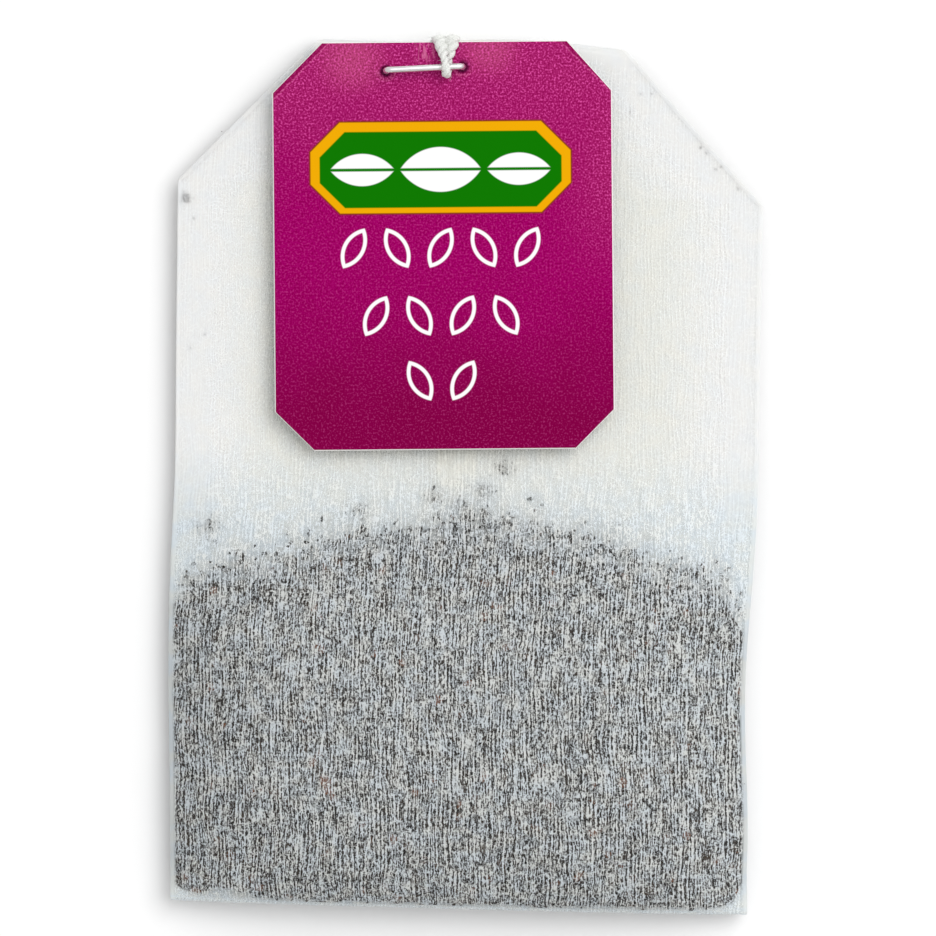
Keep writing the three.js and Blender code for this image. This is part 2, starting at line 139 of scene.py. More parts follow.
# ---- The string ----
# A soft white cotton string of two twisted plies, 165 mm long. One end is caught under the bag's
# staple, the spare length lies wound in a flat coil under the tag, and the other end goes over
# the tag's top edge, round the crown of the tag's staple and back behind the tag.
STRING_STEP = 0.11
PLY_RADIUS = 0.165
PLY_OFFSET = 0.125
TWIST = 1.25  # millimetres of string to one turn of the plies
PLY_SIDES = 9
EDGE_FLUFF = 1.0  # the plies open by this share where the string bends over the tag's edge
CROWN_FLUFF = 0.3  # and by this share where it goes round the staple's crown
CARD_TOP_EDGE = 30.9  # the height of the tag's top edge
SQUEEZE = 0.48  # beyond the card's edge the soft plies are pressed to this share
CARD_BACK = 3.14  # the levels of the tag's two faces
CARD_FRONT = 3.5
COIL_CENTRE = (-1.9, 13.9)
COIL_WIDE = 3.75
COIL_NARROW = 1.75
COIL_TURN_STEPS = 16
LOWER_STRING = 2.31
UPPER_STRING = 2.81
TAG_EDGE_STRING = 3.30
TAG_FACE_STRING = 3.79
TAG_CROWN = 4.3

STRING_FROM_BAG = [
    (1.45, 25.87, LOWER_STRING),
    (1.62, 24.6, LOWER_STRING),
    (1.82, 22.6, LOWER_STRING),
    (1.92, 20.3, LOWER_STRING),
    (1.86, 17.9, LOWER_STRING),
    (1.84, 16.3, LOWER_STRING),
]
STRING_TO_TAG = [
    (-5.42, 16.7, UPPER_STRING),
    (-5.38, 18.6, UPPER_STRING),
    (-5.15, 20.8, UPPER_STRING),
    (-4.7, 23.0, UPPER_STRING),
    (-4.15, 25.2, UPPER_STRING),
    (-3.65, 27.2, UPPER_STRING),
    (-3.2, 28.9, UPPER_STRING),
    (-2.75, 30.1, UPPER_STRING),
    (-2.52, 30.85, UPPER_STRING),
    (-2.44, 31.22, TAG_EDGE_STRING - 0.34),
    (-2.4, 31.4, TAG_EDGE_STRING),
    (-2.36, 31.24, TAG_EDGE_STRING + 0.36),
    (-2.28, 30.75, TAG_FACE_STRING + 0.03),
    (-2.12, 30.1, TAG_FACE_STRING + 0.35),
    (-1.98, 29.55, TAG_CROWN + 0.36),
    (-1.9, 29.05, TAG_CROWN + 0.54),
    (-1.86, 28.66, TAG_CROWN + 0.38),
    (-1.83, 28.5, TAG_CROWN),
    (-1.8, 28.66, TAG_CROWN - 0.38),
    (-1.76, 29.05, TAG_CROWN - 0.53),
    (-1.66, 29.7, TAG_FACE_STRING + 0.01),
    (-1.52, 30.5, TAG_FACE_STRING + 0.01),
    (-1.46, 31.0, TAG_FACE_STRING - 0.06),
    (-1.42, 31.36, TAG_EDGE_STRING + 0.22),
    (-1.42, 31.38, TAG_EDGE_STRING - 0.2),
    (-1.5, 31.0, UPPER_STRING + 0.02),
    (-1.72, 30.5, UPPER_STRING - 0.05),
    (-1.9, 30.1, UPPER_STRING - 0.08),
]


def coil(turns, first_radius, last_radius, level):
    """The turns of one layer of the coil, wound clockwise."""
    steps = round(turns * COIL_TURN_STEPS)
    places = []
    for step in range(steps + 1):
        share = step / steps
        radius = first_radius + (last_radius - first_radius) * share
        angle = -math.tau * turns * share
        x = COIL_CENTRE[0] + radius * math.cos(angle)
        y = COIL_CENTRE[1] + radius * math.sin(angle)
        places.append((x, y, level))
    return places


def smooth_route(points, step):
    """A smooth line through the points, with a place every step along it."""
    points = np.array(points, float)
    along = np.concatenate([[0], np.cumsum(np.linalg.norm(np.diff(points, axis=0), axis=1))])
    slope = np.gradient(points, along, axis=0)
    fine = np.linspace(0, along[-1], int(along[-1] / step) + 1)
    k = np.clip(np.searchsorted(along, fine, side="right") - 1, 0, len(points) - 2)
    span = (along[k + 1] - along[k])[:, None]
    t = (fine - along[k])[:, None] / span
    start = (2 * t**3 - 3 * t**2 + 1) * points[k] + (t**3 - 2 * t**2 + t) * span * slope[k]
    end = (3 * t**2 - 2 * t**3) * points[k + 1] + (t**3 - t**2) * span * slope[k + 1]
    return start + end


def unit(vectors):
    return vectors / np.linalg.norm(vectors, axis=-1, keepdims=True)


def frames_along(path):
    """Two directions square to the path at each place, carried along it without a twist."""
    forward = unit(np.gradient(path, axis=0))
    across = np.cross(forward[0], (0.0, 0.0, 1.0) if abs(forward[0][2]) < 0.9 else (0.0, 1.0, 0.0))
    sideways = []
    for direction in forward:
        across = unit(across - direction * np.dot(across, direction))
        sideways.append(across)
    sideways = np.array(sideways)
    return sideways, np.cross(forward, sideways)


def tube(path, radii, sides, first=0):
    """Points and faces of a closed round tube along a path. first is its first point's number."""
    sideways, upright = frames_along(path)
    angles = np.arange(sides) * math.tau / sides
    ring = np.cos(angles)[None, :, None] * sideways[:, None]
    ring = ring + np.sin(angles)[None, :, None] * upright[:, None]
    points = (path[:, None] + ring * np.broadcast_to(radii, len(path))[:, None, None]).reshape(-1, 3)
    faces = [tuple(first + side for side in reversed(range(sides)))]
    for row in range(len(path) - 1):
        start = first + row * sides
        for side in range(sides):
            after = (side + 1) % sides
            faces.append((start + side, start + after, start + sides + after, start + sides + side))
    last = first + (len(path) - 1) * sides
    faces.append(tuple(last + side for side in range(sides)))
    return points, faces


def add_tube(points, faces, path, radii, sides):
    more_points, more_faces = tube(path, radii, sides, sum(len(p) for p in points))
    points.append(more_points)
    faces.extend(more_faces)


coil_in = coil(4, COIL_WIDE, COIL_NARROW, LOWER_STRING)
coil_out = coil(3.5, COIL_NARROW, COIL_WIDE - 0.25, UPPER_STRING)
route = STRING_FROM_BAG + coil_in + coil_out[1:] + STRING_TO_TAG
string_path = smooth_route(route, STRING_STEP)
string_run = np.arange(len(string_path)) * STRING_STEP
over_edge = np.clip((string_path[:, 1] - 29.6) / 1.3, 0, 1)
round_crown = np.clip(1 - np.abs(string_path[:, 1] - 28.7) / 0.6, 0, 1)
fluff = 1 + EDGE_FLUFF * over_edge + CROWN_FLUFF * round_crown

string_points, string_faces = [], []
sideways, upright = frames_along(string_path)
for ply in range(2):
    angle = math.tau * string_run / TWIST + ply * math.pi
    offset = (PLY_OFFSET * fluff)[:, None]
    shift = np.cos(angle)[:, None] * sideways + np.sin(angle)[:, None] * upright
    add_tube(string_points, string_faces, string_path + shift * offset, PLY_RADIUS * fluff, PLY_SIDES)

# The soft plies lie flat against both faces of the card.
for ply_points in string_points:
    beyond = np.maximum(ply_points[:, 1] - CARD_TOP_EDGE, 0)
    ply_points[:, 1] -= beyond * (1 - SQUEEZE)
    on_card = ply_points[:, 1] < CARD_TOP_EDGE
    level = ply_points[:, 2]
    in_front = level > TAG_EDGE_STRING
    level[on_card & in_front] = np.maximum(level[on_card & in_front], CARD_FRONT)
    level[on_card & ~in_front] = np.minimum(level[on_card & ~in_front], CARD_BACK)

# Loose cotton hairs stand off the part of the string that shows.
HAIRS = 420
HAIR_RADIUS = 0.010
HAIR_LENGTH = (0.2, 0.5)
HAIRS_ABOVE = 28.4  # behind and below the staple's crown the string is hidden
draw = np.random.default_rng(11)
shown = np.flatnonzero(string_path[:, 1] > HAIRS_ABOVE)
for _ in range(HAIRS):
    at = draw.choice(shown)
    root = string_path[at] + draw.normal(0, 0.15 * fluff[at], 3)
    root[1] -= max(root[1] - CARD_TOP_EDGE, 0) * (1 - SQUEEZE)
    out = unit(draw.normal(0, 1, 3) + (0, 0.3, 0.2))
    side = unit(np.cross(out, draw.normal(0, 1, 3)))
    bend = draw.uniform(-0.18, 0.18)
    share = np.linspace(0, 1, 5)[:, None]
    hair = root + share * out * draw.uniform(*HAIR_LENGTH) + share**2 * side * bend
    hair[:, 2] = np.maximum(hair[:, 2], CARD_FRONT if root[2] > TAG_EDGE_STRING else UPPER_STRING - 0.3)
    add_tube(string_points, string_faces, hair, np.linspace(HAIR_RADIUS, HAIR_RADIUS / 3, 5), 3)

cotton, tree = new_material("cotton_string")
place = node(tree, "TexCoord").outputs["Object"]
fibres = node(tree, "TexNoise", {"Vector": place, "Scale": 9000, "Detail": 3})
tint = node(tree, "ValToRGB", {"Fac": fibres.outputs["Fac"]})
tint.color_ramp.elements[0].color = (0.60, 0.61, 0.58, 1)
tint.color_ramp.elements[1].color = (0.84, 0.85, 0.82, 1)
tint.color_ramp.elements[0].position = 0.3
tint.color_ramp.elements[1].position = 0.6
fuzz = node(tree, "Bump", {"Height": fibres.outputs["Fac"], "Strength": 0.5, "Distance": 0.05 * MM})
finish = node(tree, "BsdfPrincipled", {"Base Color": tint.outputs[0], "Normal": fuzz.outputs[0]})
finish.inputs["Roughness"].default_value = 0.9
finish.inputs["Sheen Weight"].default_value = 0.4
show(tree, finish.outputs[0])

string = closed_mesh("string", np.vstack(string_points), string_faces, cotton)
string.data.shade_smooth()
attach(string, "root")
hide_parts("string_to_bag", "string_coil", "string_to_tag")

# ---- The bag ----
# One tube of thin filter paper, pressed flat and folded at its middle into two chambers with a W
# fold between them. Its head is folded over on the back, with the corners folded in first.
BAG_HEIGHT = 62.2
BOTTOM_WIDTH = 41.4
SHOULDER_WIDTH = 42.0
SHOULDER_HEIGHT = 51.6
HEAD_WIDTH = 22.0
HEAD_SKEW = 0.03  # millimetres off square in each millimetre across
PLEAT_HEIGHT = 8.0  # the crest of the W fold
PLEAT_EASE = 4.0  # above it the two chambers close together over this height
FLAP_LENGTH = 6.6  # the head folded over onto the back
INNER_FLAP_SHORT = 1.2  # its inner layer ends this much sooner
CORNER_LEAF_EDGE = 4.6  # a folded-in corner reaches this near the middle line
TUBE = 0.22  # over both plies of the pressed tube
LAYER = 0.28  # from one folded layer to the next
PAPER = 0.05
OUTER_FLAP = 0.73
INNER_FLAP = OUTER_FLAP + LAYER
CORNER_LEAF = INNER_FLAP + LAYER
BACK_TUBE = CORNER_LEAF + LAYER
FRONT_TUBE = BACK_TUBE + LAYER
MIDDLE = (BACK_TUBE + FRONT_TUBE) / 2
FRONT_CHAMBER = 3.3
BACK_CHAMBER = 3.5
MIDDLE_BOW = 1.65  # the walls between the chambers curve up by this much
BOTTOM_ROUNDING = 8.0
FULL_BELOW = 15.0  # the chambers are full up to here
EMPTY_ABOVE = 35.0  # and pressed flat from here on
OUTER_HEAD_TURN = (FRONT_TUBE - OUTER_FLAP) / 2
INNER_HEAD_TURN = (BACK_TUBE - INNER_FLAP) / 2
PLEAT_TURN = LAYER / 2
HEAD_TURN_Y = BAG_HEIGHT - OUTER_HEAD_TURN - TUBE / 2
BOTTOM_TURN_Y = PLEAT_TURN + TUBE / 2
RUN_STEP = 0.8
ACROSS_STEPS = 84
TURN_STEPS = 6


def smoothstep(value, low, high):
    share = np.clip((value - low) / (high - low), 0, 1)
    return share * share * (3 - 2 * share)


def hump(value, centre, width):
    return np.exp(-(((value - centre) / width) ** 2))


def ripple(x, y, wavelength, seed):
    """An uneven surface about 1 high: waves of about one length, with directions left to chance."""
    draw = np.random.default_rng(seed)
    height = 0
    waves = 12
    for _ in range(waves):
        turn, phase = draw.uniform(0, math.tau, 2)
        reach = math.tau / (wavelength * draw.uniform(0.7, 1.4))
        height = height + np.sin(reach * (x * math.cos(turn) + y * math.sin(turn)) + phase)
    return height / math.sqrt(waves)


def fullness(y):
    left = 1 - np.clip((y - BOTTOM_TURN_Y) / BOTTOM_ROUNDING, 0, 1)
    return np.sqrt(1 - left * left) * (1 - smoothstep(y, FULL_BELOW, EMPTY_ABOVE))


def bow_at(y):
    return MIDDLE_BOW * (1 - smoothstep(y, FULL_BELOW, EMPTY_ABOVE))


def split_at(y):
    share = smoothstep(y, PLEAT_HEIGHT, PLEAT_HEIGHT + PLEAT_EASE)
    return LAYER * (1.5 - share)


def bulge(across):
    return 1 - across**4


def half_width(y):
    """Half the bag's true width at a height. The corner folds narrow it towards the head."""
    heights = (0, SHOULDER_HEIGHT, BAG_HEIGHT)
    return np.interp(y, heights, (BOTTOM_WIDTH / 2, SHOULDER_WIDTH / 2, HEAD_WIDTH / 2))


def stands_off(depth, across, x, y, half):
    """How far an outer ply stands off the flat tube: the full chamber, with dents in it, and with
    small puckers along the side folds."""
    puffed = np.clip(depth / FRONT_CHAMBER, 0, 1)
    from_side = (1 - np.abs(across)) * half
    dents = 0.10 * ripple(x, y * 0.6, 7.0, 3) + 0.045 * ripple(x, y * 0.7, 2.6, 4)
    puckers = 0.13 * ripple(x * 0.15, y, 2.4, 5) * np.exp(-from_side / 2.2)
    puckers = puckers * (1 - np.exp(-from_side / 0.4))
    return depth * bulge(across) + puffed * (bulge(across) * dents + puckers)


def place_across(across, y, half):
    """The place across the bag of a share of its half width, with the folds pushed about."""
    edge = np.where(across < 0, side_edge(-1, y), side_edge(1, y))
    return across * (half + edge * smoothstep(np.abs(across), 0.3, 1))


def side_edge(side, y):
    """How far a side fold stands out past the true half width. The tea pushes it about a little."""
    if side < 0:
        return 0.34 * hump(y, 19, 11) - 0.1 * hump(y, 31, 5)
    return -0.5 * hump(y, 16, 8) + 0.12 * hump(y, 30, 8) - 0.08 * hump(y, 3, 2)


def skewed(x, y):
    """The head fold and the bottom fold both run a little off square."""
    head = HEAD_SKEW * (x + HEAD_WIDTH / 2) * np.clip((y - 30) / 20, 0, 1)
    bow = 0.6 * hump(x, 4, 7) * smoothstep(y, 50, 60)
    return y - head + bow - 0.01 * x * (1 - smoothstep(y, 0, 20))


def section(y, z, facing, half, bow=0.0, opening=0.0):
    """One section of the pressed tube: its middle, and the way its outer ply faces."""
    return (y, z, facing[0], facing[1], half, bow, opening)


def turn(centre_y, centre_z, radius, first, last, side, half_from, half_to, bow=0.0):
    """Sections round a fold, with the outer ply outside the turn (side 1) or inside it (-1)."""
    made = []
    for step in range(TURN_STEPS + 1):
        share = step / TURN_STEPS
        angle = math.radians(first + (last - first) * share)
        y = centre_y + radius * math.cos(angle)
        z = centre_z + radius * math.sin(angle)
        facing = (side * math.cos(angle), side * math.sin(angle))
        made.append(section(y, z, facing, half_from + (half_to - half_from) * share, bow))
    return made


def flat_run(first, last, z, facing, half_from, half_to, bow=0.0):
    """Sections of a flat stretch, without its two ends."""
    steps = max(2, round(abs(last - first) / RUN_STEP))
    shares = [step / steps for step in range(1, steps)]
    return [
        section(first + (last - first) * s, z, facing, half_from + (half_to - half_from) * s, bow)
        for s in shares
    ]


UP, DOWN = (0, 1), (0, -1)
narrowing = (SHOULDER_WIDTH - HEAD_WIDTH) / 2 / (BAG_HEIGHT - SHOULDER_HEIGHT)
at_turn = half_width(HEAD_TURN_Y)
past_outer = at_turn - narrowing * math.pi * OUTER_HEAD_TURN
past_inner = at_turn - narrowing * math.pi * INNER_HEAD_TURN
inner_flap = FLAP_LENGTH - INNER_FLAP_SHORT
flap_y = HEAD_TURN_Y - FLAP_LENGTH
inner_flap_y = HEAD_TURN_Y - inner_flap
outer_mouth = past_outer - narrowing * FLAP_LENGTH
inner_mouth = past_inner - narrowing * inner_flap
near_bottom = [0.45, 0.7, 1.0, 1.4, 1.9, 2.5, 3.1]
run_heights = list(np.arange(HEAD_TURN_Y - RUN_STEP, near_bottom[-1] + 0.3, -RUN_STEP))
run_heights = [y for y in run_heights if abs(y - SHOULDER_HEIGHT) > 0.3] + [SHOULDER_HEIGHT]
run_heights = sorted(run_heights, reverse=True) + near_bottom[::-1]
bottom_half = BOTTOM_WIDTH / 2

sections = [section(flap_y, OUTER_FLAP, DOWN, outer_mouth)]
sections += flat_run(flap_y, HEAD_TURN_Y, OUTER_FLAP, DOWN, outer_mouth, past_outer)
sections += turn(HEAD_TURN_Y, CORNER_LEAF, OUTER_HEAD_TURN, -90, 90, 1, past_outer, at_turn)
for y in run_heights:
    depth = FRONT_CHAMBER * fullness(y)
    sections.append(section(y, MIDDLE + split_at(y), UP, half_width(y), bow_at(y), depth))
at_bottom = (PLEAT_TURN, 90, 270, 1, bottom_half, bottom_half, MIDDLE_BOW)
sections += turn(BOTTOM_TURN_Y, MIDDLE + LAYER, *at_bottom)
pleat_half = half_width(PLEAT_HEIGHT)
PLEAT_FROM = 0.5
into_pleat = (MIDDLE + PLEAT_TURN, DOWN, bottom_half, pleat_half, MIDDLE_BOW)
out_of_pleat = (MIDDLE - PLEAT_TURN, UP, pleat_half, bottom_half, MIDDLE_BOW)
sections += flat_run(PLEAT_FROM, PLEAT_HEIGHT, *into_pleat)
sections += turn(PLEAT_HEIGHT, MIDDLE, PLEAT_TURN, 90, -90, -1, pleat_half, pleat_half, MIDDLE_BOW)
sections += flat_run(PLEAT_HEIGHT, PLEAT_FROM, *out_of_pleat)
sections += turn(BOTTOM_TURN_Y, MIDDLE - LAYER, *at_bottom)
for y in reversed(run_heights):
    depth = BACK_CHAMBER * fullness(y)
    sections.append(section(y, MIDDLE - split_at(y), DOWN, half_width(y), bow_at(y), depth))
sections += turn(HEAD_TURN_Y, CORNER_LEAF, INNER_HEAD_TURN, 90, -90, -1, at_turn, past_inner)
sections += flat_run(HEAD_TURN_Y, inner_flap_y, INNER_FLAP, UP, past_inner, inner_mouth)
sections.append(section(inner_flap_y, INNER_FLAP, UP, inner_mouth))
sections = np.array(sections)


def paper_skin(inset):
    """All the tube's sections as rings of points, drawn in by part of the paper's thickness."""
    y, z, face_y, face_z, half, bow, depth = (column[:, None] for column in sections.T)
    swing = np.sin(np.linspace(-1, 1, ACROSS_STEPS + 1) * math.pi / 2)
    across = np.concatenate([swing, swing[-2:0:-1]])[None, :]
    side = np.concatenate([np.ones(ACROSS_STEPS + 1), -np.ones(ACROSS_STEPS - 1)])[None, :]
    x = place_across(across, y, half - inset)
    fold = TUBE / 2 - inset
    into = np.clip((1 - np.abs(across)) * (half - inset) / fold, 0, 1)
    round_off = fold * np.sqrt(1 - (1 - into) ** 2)
    swell = stands_off(depth, across, x, y, half)
    off = side * (round_off + np.where(side > 0, swell, 0))
    level = np.maximum(z + bow * bulge(across) + face_z * off, inset + 0.02)
    up = skewed(x, y + face_y * off) - BAG_HEIGHT / 2
    return np.stack([x, up, np.broadcast_to(level, x.shape)], axis=2)


outer_skin, inner_skin = paper_skin(0), paper_skin(PAPER)
rows, around = outer_skin.shape[:2]
bag_points = np.concatenate([outer_skin.reshape(-1, 3), inner_skin.reshape(-1, 3)])
# Where each point lies on the flat paper, in millimetres: round the tube, and along it.
girth = np.abs(np.diff(np.concatenate([outer_skin[:, :, 0], outer_skin[:, :1, 0]], axis=1), axis=1))
girth = np.concatenate([np.zeros((rows, 1)), np.cumsum(girth, axis=1)], axis=1)
girth = girth - girth[:, ACROSS_STEPS : ACROSS_STEPS + 1] / 2
middles = sections[:, :2] + sections[:, 2:4] * (sections[:, 6:7] + sections[:, 5:6] * sections[:, 3:4])
length = np.concatenate([[0], np.cumsum(np.linalg.norm(np.diff(middles, axis=0), axis=1))])

# And how far it lies from the nearest side fold, with its height on the bag.
slope = np.where(sections[:, 0] > SHOULDER_HEIGHT, math.cos(math.atan(narrowing)), 1.0)[:, None]
across_skin = outer_skin[:, :, 0]
left_fold, right_fold = across_skin[:, :1], across_skin[:, ACROSS_STEPS : ACROSS_STEPS + 1]
from_fold = np.minimum(across_skin - left_fold, right_fold - across_skin) * slope
from_fold = np.concatenate([from_fold, from_fold[:, :1]], axis=1)

INSIDE_MAP = 100
bag_faces, bag_places, fold_places = [], [], []


def paper_face(corners):
    """One face of the tube from (row, step round the tube, skin) corners. The faces of the ply that
    lies inside the folded bag are mapped INSIDE_MAP further along, which marks them for the paper."""
    inside = min(k for row, k, skin in corners) >= ACROSS_STEPS
    shift = INSIDE_MAP if inside else 0
    bag_faces.append([(skin * rows + row) * around + k % around for row, k, skin in corners])
    bag_places.extend((girth[row, k] + shift, length[row]) for row, k, skin in corners)
    fold_places.extend((from_fold[row, k], sections[row, 0]) for row, k, skin in corners)


last = rows - 1
for k in range(around):
    for row in range(last):
        paper_face([(row, k, 0), (row + 1, k, 0), (row + 1, k + 1, 0), (row, k + 1, 0)])
        paper_face([(row, k + 1, 1), (row + 1, k + 1, 1), (row + 1, k, 1), (row, k, 1)])
    paper_face([(0, k, 0), (0, k + 1, 0), (0, k + 1, 1), (0, k, 1)])
    paper_face([(last, k, 1), (last, k + 1, 1), (last, k + 1, 0), (last, k, 0)])


def corner_leaf(side):
    """A folded-in corner: it comes round the slanted edge and lies flat behind the bag."""
    steps_along = 18
    steps_round = 10
    steps_flat = 22
    fold_top = FRONT_TUBE + TUBE / 2 - 0.01
    fold_bottom = CORNER_LEAF - TUBE / 2
    radius = (fold_top - fold_bottom) / 2
    loops = []
    for step in range(steps_along + 1):
        y = SHOULDER_HEIGHT + (HEAD_TURN_Y - 0.25 - SHOULDER_HEIGHT) * step / steps_along
        edge = half_width(y) + 0.02
        angles = np.linspace(90, -90, steps_round + 1)[:, None] * math.pi / 180
        wrap = np.hstack([np.cos(angles), np.sin(angles)]) * radius + (edge - radius, fold_bottom + radius)
        run = np.linspace(edge - radius, CORNER_LEAF_EDGE, steps_flat + 1)[1:, None]
        flat = np.hstack([run, np.full_like(run, fold_bottom)])
        outside = np.vstack([wrap, flat])
        inward = np.vstack([-np.hstack([np.cos(angles), np.sin(angles)]), np.tile([0, 1], (steps_flat, 1))])
        inside = outside + inward * 2 * PAPER
        loop = np.vstack([outside, inside[::-1]])
        loops.append(np.column_stack([side * loop[:, 0], np.full(len(loop), y), loop[:, 1]]))
    loops = np.array(loops)
    count = loops.shape[1]
    points = loops.reshape(-1, 3)
    points[:, 1] = skewed(points[:, 0], points[:, 1]) - BAG_HEIGHT / 2
    faces = []
    for row in range(steps_along):
        for k in range(count):
            after = (k + 1) % count
            here, above = row * count, (row + 1) * count
            faces.append([here + k, above + k, above + after, here + after])
    for k in range(count // 2 - 1):
        mirror = count - 1 - k
        faces.append([k, k + 1, mirror - 1, mirror])
        end = steps_along * count
        faces.append([end + mirror, end + mirror - 1, end + k + 1, end + k])
    if side < 0:
        faces = [face[::-1] for face in faces]
    return points, faces


for side in (-1, 1):
    leaf_points, leaf_faces = corner_leaf(side)
    first = len(bag_points)
    bag_points = np.concatenate([bag_points, leaf_points])
    for face in leaf_faces:
        bag_faces.append([first + corner for corner in face])
        bag_places.extend((leaf_points[corner][0] - 200, leaf_points[corner][1]) for corner in face)
        fold_places.extend((3.0, SHOULDER_HEIGHT) for corner in face)


def calc(tree, operation, first, second=0.0, third=0.0):
    """The result of one Math node."""
    made = node(tree, "Math", operation=operation)
    for socket, value in zip(made.inputs, (first, second, third)):
        feed(tree, socket, value)
    return made.outputs[0]


def times(tree, first, second):
    return calc(tree, "MULTIPLY", first, second)


def less(tree, first, second):
    return calc(tree, "SUBTRACT", first, second)


def ease(tree, value, low, high):
    """0 below low, 1 above high, and smooth between."""
    made = node(tree, "MapRange", interpolation_type="SMOOTHSTEP")
    for socket, number in (("Value", value), ("From Min", low), ("From Max", high)):
        feed(tree, made.inputs[socket], number)
    return made.outputs[0]


def mix(tree, share, first, second):
    """One colour into another."""
    made = node(tree, "Mix", data_type="RGBA")
    for index, value in ((0, share), (6, first), (7, second)):
        feed(tree, made.inputs[index], value)
    return made.outputs[2]


front_rows = TURN_STEPS + 1 + round(FLAP_LENGTH / RUN_STEP) + np.arange(len(run_heights))
seam_end = float(np.interp(-30.0, -sections[front_rows, 0], length[front_rows]))
SEAM_HALF = 1.4
SEAM_CENTRE = -0.7
WIRE_MARK = 0.287  # the paper machine's wire leaves lines this far apart

filter_paper, tree = new_material("filter_paper")
flat_place = node(tree, "UVMap", uv_map="flat_paper").outputs[0]
parts = node(tree, "SeparateXYZ", {0: flat_place})
u, v = parts.outputs[0], parts.outputs[1]
parts = node(tree, "SeparateXYZ", {0: node(tree, "UVMap", uv_map="from_folds").outputs[0]})
off_fold, height = parts.outputs[0], parts.outputs[1]


def noise_2d(tree, vector, scale, detail):
    inputs = {"Vector": vector, "Scale": scale, "Detail": detail}
    made = node(tree, "TexNoise", inputs, noise_dimensions="2D")
    return less(tree, made.outputs["Fac"], 0.5)


def stretched(tree, across, along, shift):
    """The flat paper's own coordinates, in units of a fibre's width and length."""
    x = calc(tree, "MULTIPLY_ADD", u_bent, 1 / across, shift)
    y = calc(tree, "MULTIPLY_ADD", v, 1 / along, shift)
    return node(tree, "CombineXYZ", {0: x, 1: y}).outputs[0]


wander = noise_2d(tree, flat_place, 0.3, 0)
u_bent = calc(tree, "MULTIPLY_ADD", wander, 0.35, u)
fine = noise_2d(tree, stretched(tree, 0.085, 0.34, 3.0), 1, 1.5)
grit = noise_2d(tree, flat_place, 8.0, 1)
streaks = noise_2d(tree, stretched(tree, 0.12, 2.6, 11.0), 1, 1)
crossing = ease(tree, calc(tree, "ABSOLUTE", noise_2d(tree, flat_place, 1.9, 1)), 0.06, 0.0)
wire_mark = calc(tree, "COSINE", times(tree, u_bent, math.tau / WIRE_MARK))
clouds = noise_2d(tree, flat_place, 1.1, 1)

# Inside the pressed tube, at the seam and near the side folds the paper lies close, and looks dense.
inner_ply = calc(tree, "GREATER_THAN", u, INSIDE_MAP / 2)
empty = ease(tree, height, 25.0, 34.0)
seam = ease(tree, calc(tree, "ABSOLUTE", less(tree, u, SEAM_CENTRE)), SEAM_HALF + 0.2, SEAM_HALF - 0.2)
seam = times(tree, seam, ease(tree, v, seam_end + 1.0, seam_end - 1.5))
beside = times(tree, ease(tree, off_fold, 5.0, 1.5), ease(tree, height, 24.0, 30.0))
rim = times(tree, ease(tree, height, HEAD_TURN_Y - 3.0, HEAD_TURN_Y), 0.9)
rim = calc(tree, "MAXIMUM", rim, ease(tree, off_fold, 0.55, 0.2))
dense = calc(tree, "MAXIMUM", times(tree, seam, 0.8), times(tree, beside, 0.6))
dense = calc(tree, "MAXIMUM", dense, rim)

calm = calc(tree, "MAXIMUM", times(tree, dense, 0.85), times(tree, empty, 0.60))
calm = calc(tree, "MAXIMUM", calm, times(tree, beside, 0.82))
calm = less(tree, 1.0, calm)
lively = calc(tree, "MULTIPLY_ADD", fine, 2.8, times(tree, grit, 1.5))
lively = calc(tree, "MULTIPLY_ADD", lively, calm, times(tree, streaks, 2.0))
lively = calc(tree, "MULTIPLY_ADD", wire_mark, 0.20, lively)
lively = calc(tree, "MULTIPLY_ADD", crossing, 0.55, lively)
lively = calc(tree, "MULTIPLY_ADD", clouds, 0.60, lively)
thickness = calc(tree, "MULTIPLY_ADD", ease(tree, height, 16.0, 2.0), -0.06, 0.51)
thickness = calc(tree, "MULTIPLY_ADD", lively, calm, thickness)
thickness = calc(tree, "MULTIPLY_ADD", dense, 0.25, thickness)
cover = calc(tree, "MINIMUM", calc(tree, "MAXIMUM", thickness, 0.03), 0.97)
cover = calc(tree, "MAXIMUM", cover, times(tree, inner_ply, 0.96))
cover = calc(tree, "MAXIMUM", cover, times(tree, rim, 0.95))

tones = node(tree, "ValToRGB", {"Fac": calc(tree, "ADD", noise_2d(tree, flat_place, 0.8, 1), 0.5)})
for element, position, colour in zip(
    tones.color_ramp.elements, (0.36, 0.64), ((0.81, 0.885, 0.945, 1), (0.935, 0.925, 0.865, 1))
):
    element.position, element.color = position, colour
plain = mix(tree, ease(tree, off_fold, 2.0, 8.0), (0.972, 0.972, 0.967, 1), (0.928, 0.928, 0.892, 1))
plain = mix(tree, empty, (0.845, 0.89, 0.91, 1), plain)
plain = mix(tree, seam, plain, (0.965, 0.955, 0.89, 1))
tint = mix(tree, calc(tree, "MULTIPLY_ADD", empty, -0.30, 0.45), plain, tones.outputs[0])
ridges = times(tree, fine, 2.0)
grain = node(tree, "Bump", {"Height": ridges, "Strength": 0.15, "Distance": 0.02 * MM})
lit = node(tree, "BsdfDiffuse", {"Color": tint, "Normal": grain.outputs[0]})
through = node(tree, "BsdfTranslucent", {"Color": tint})
thin = ease(tree, thickness, 1.25, 0.15)
thin = calc(tree, "MULTIPLY_ADD", thin, 0.35, 0.30)
thin = times(tree, thin, less(tree, 1.0, times(tree, inner_ply, 0.75)))
fibre = node(tree, "MixShader", {0: thin, 1: lit.outputs[0], 2: through.outputs[0]})
clear = node(tree, "BsdfTransparent")
front = node(tree, "MixShader", {0: cover, 1: clear.outputs[0], 2: fibre.outputs[0]})
back_face = node(tree, "NewGeometry").outputs["Backfacing"]
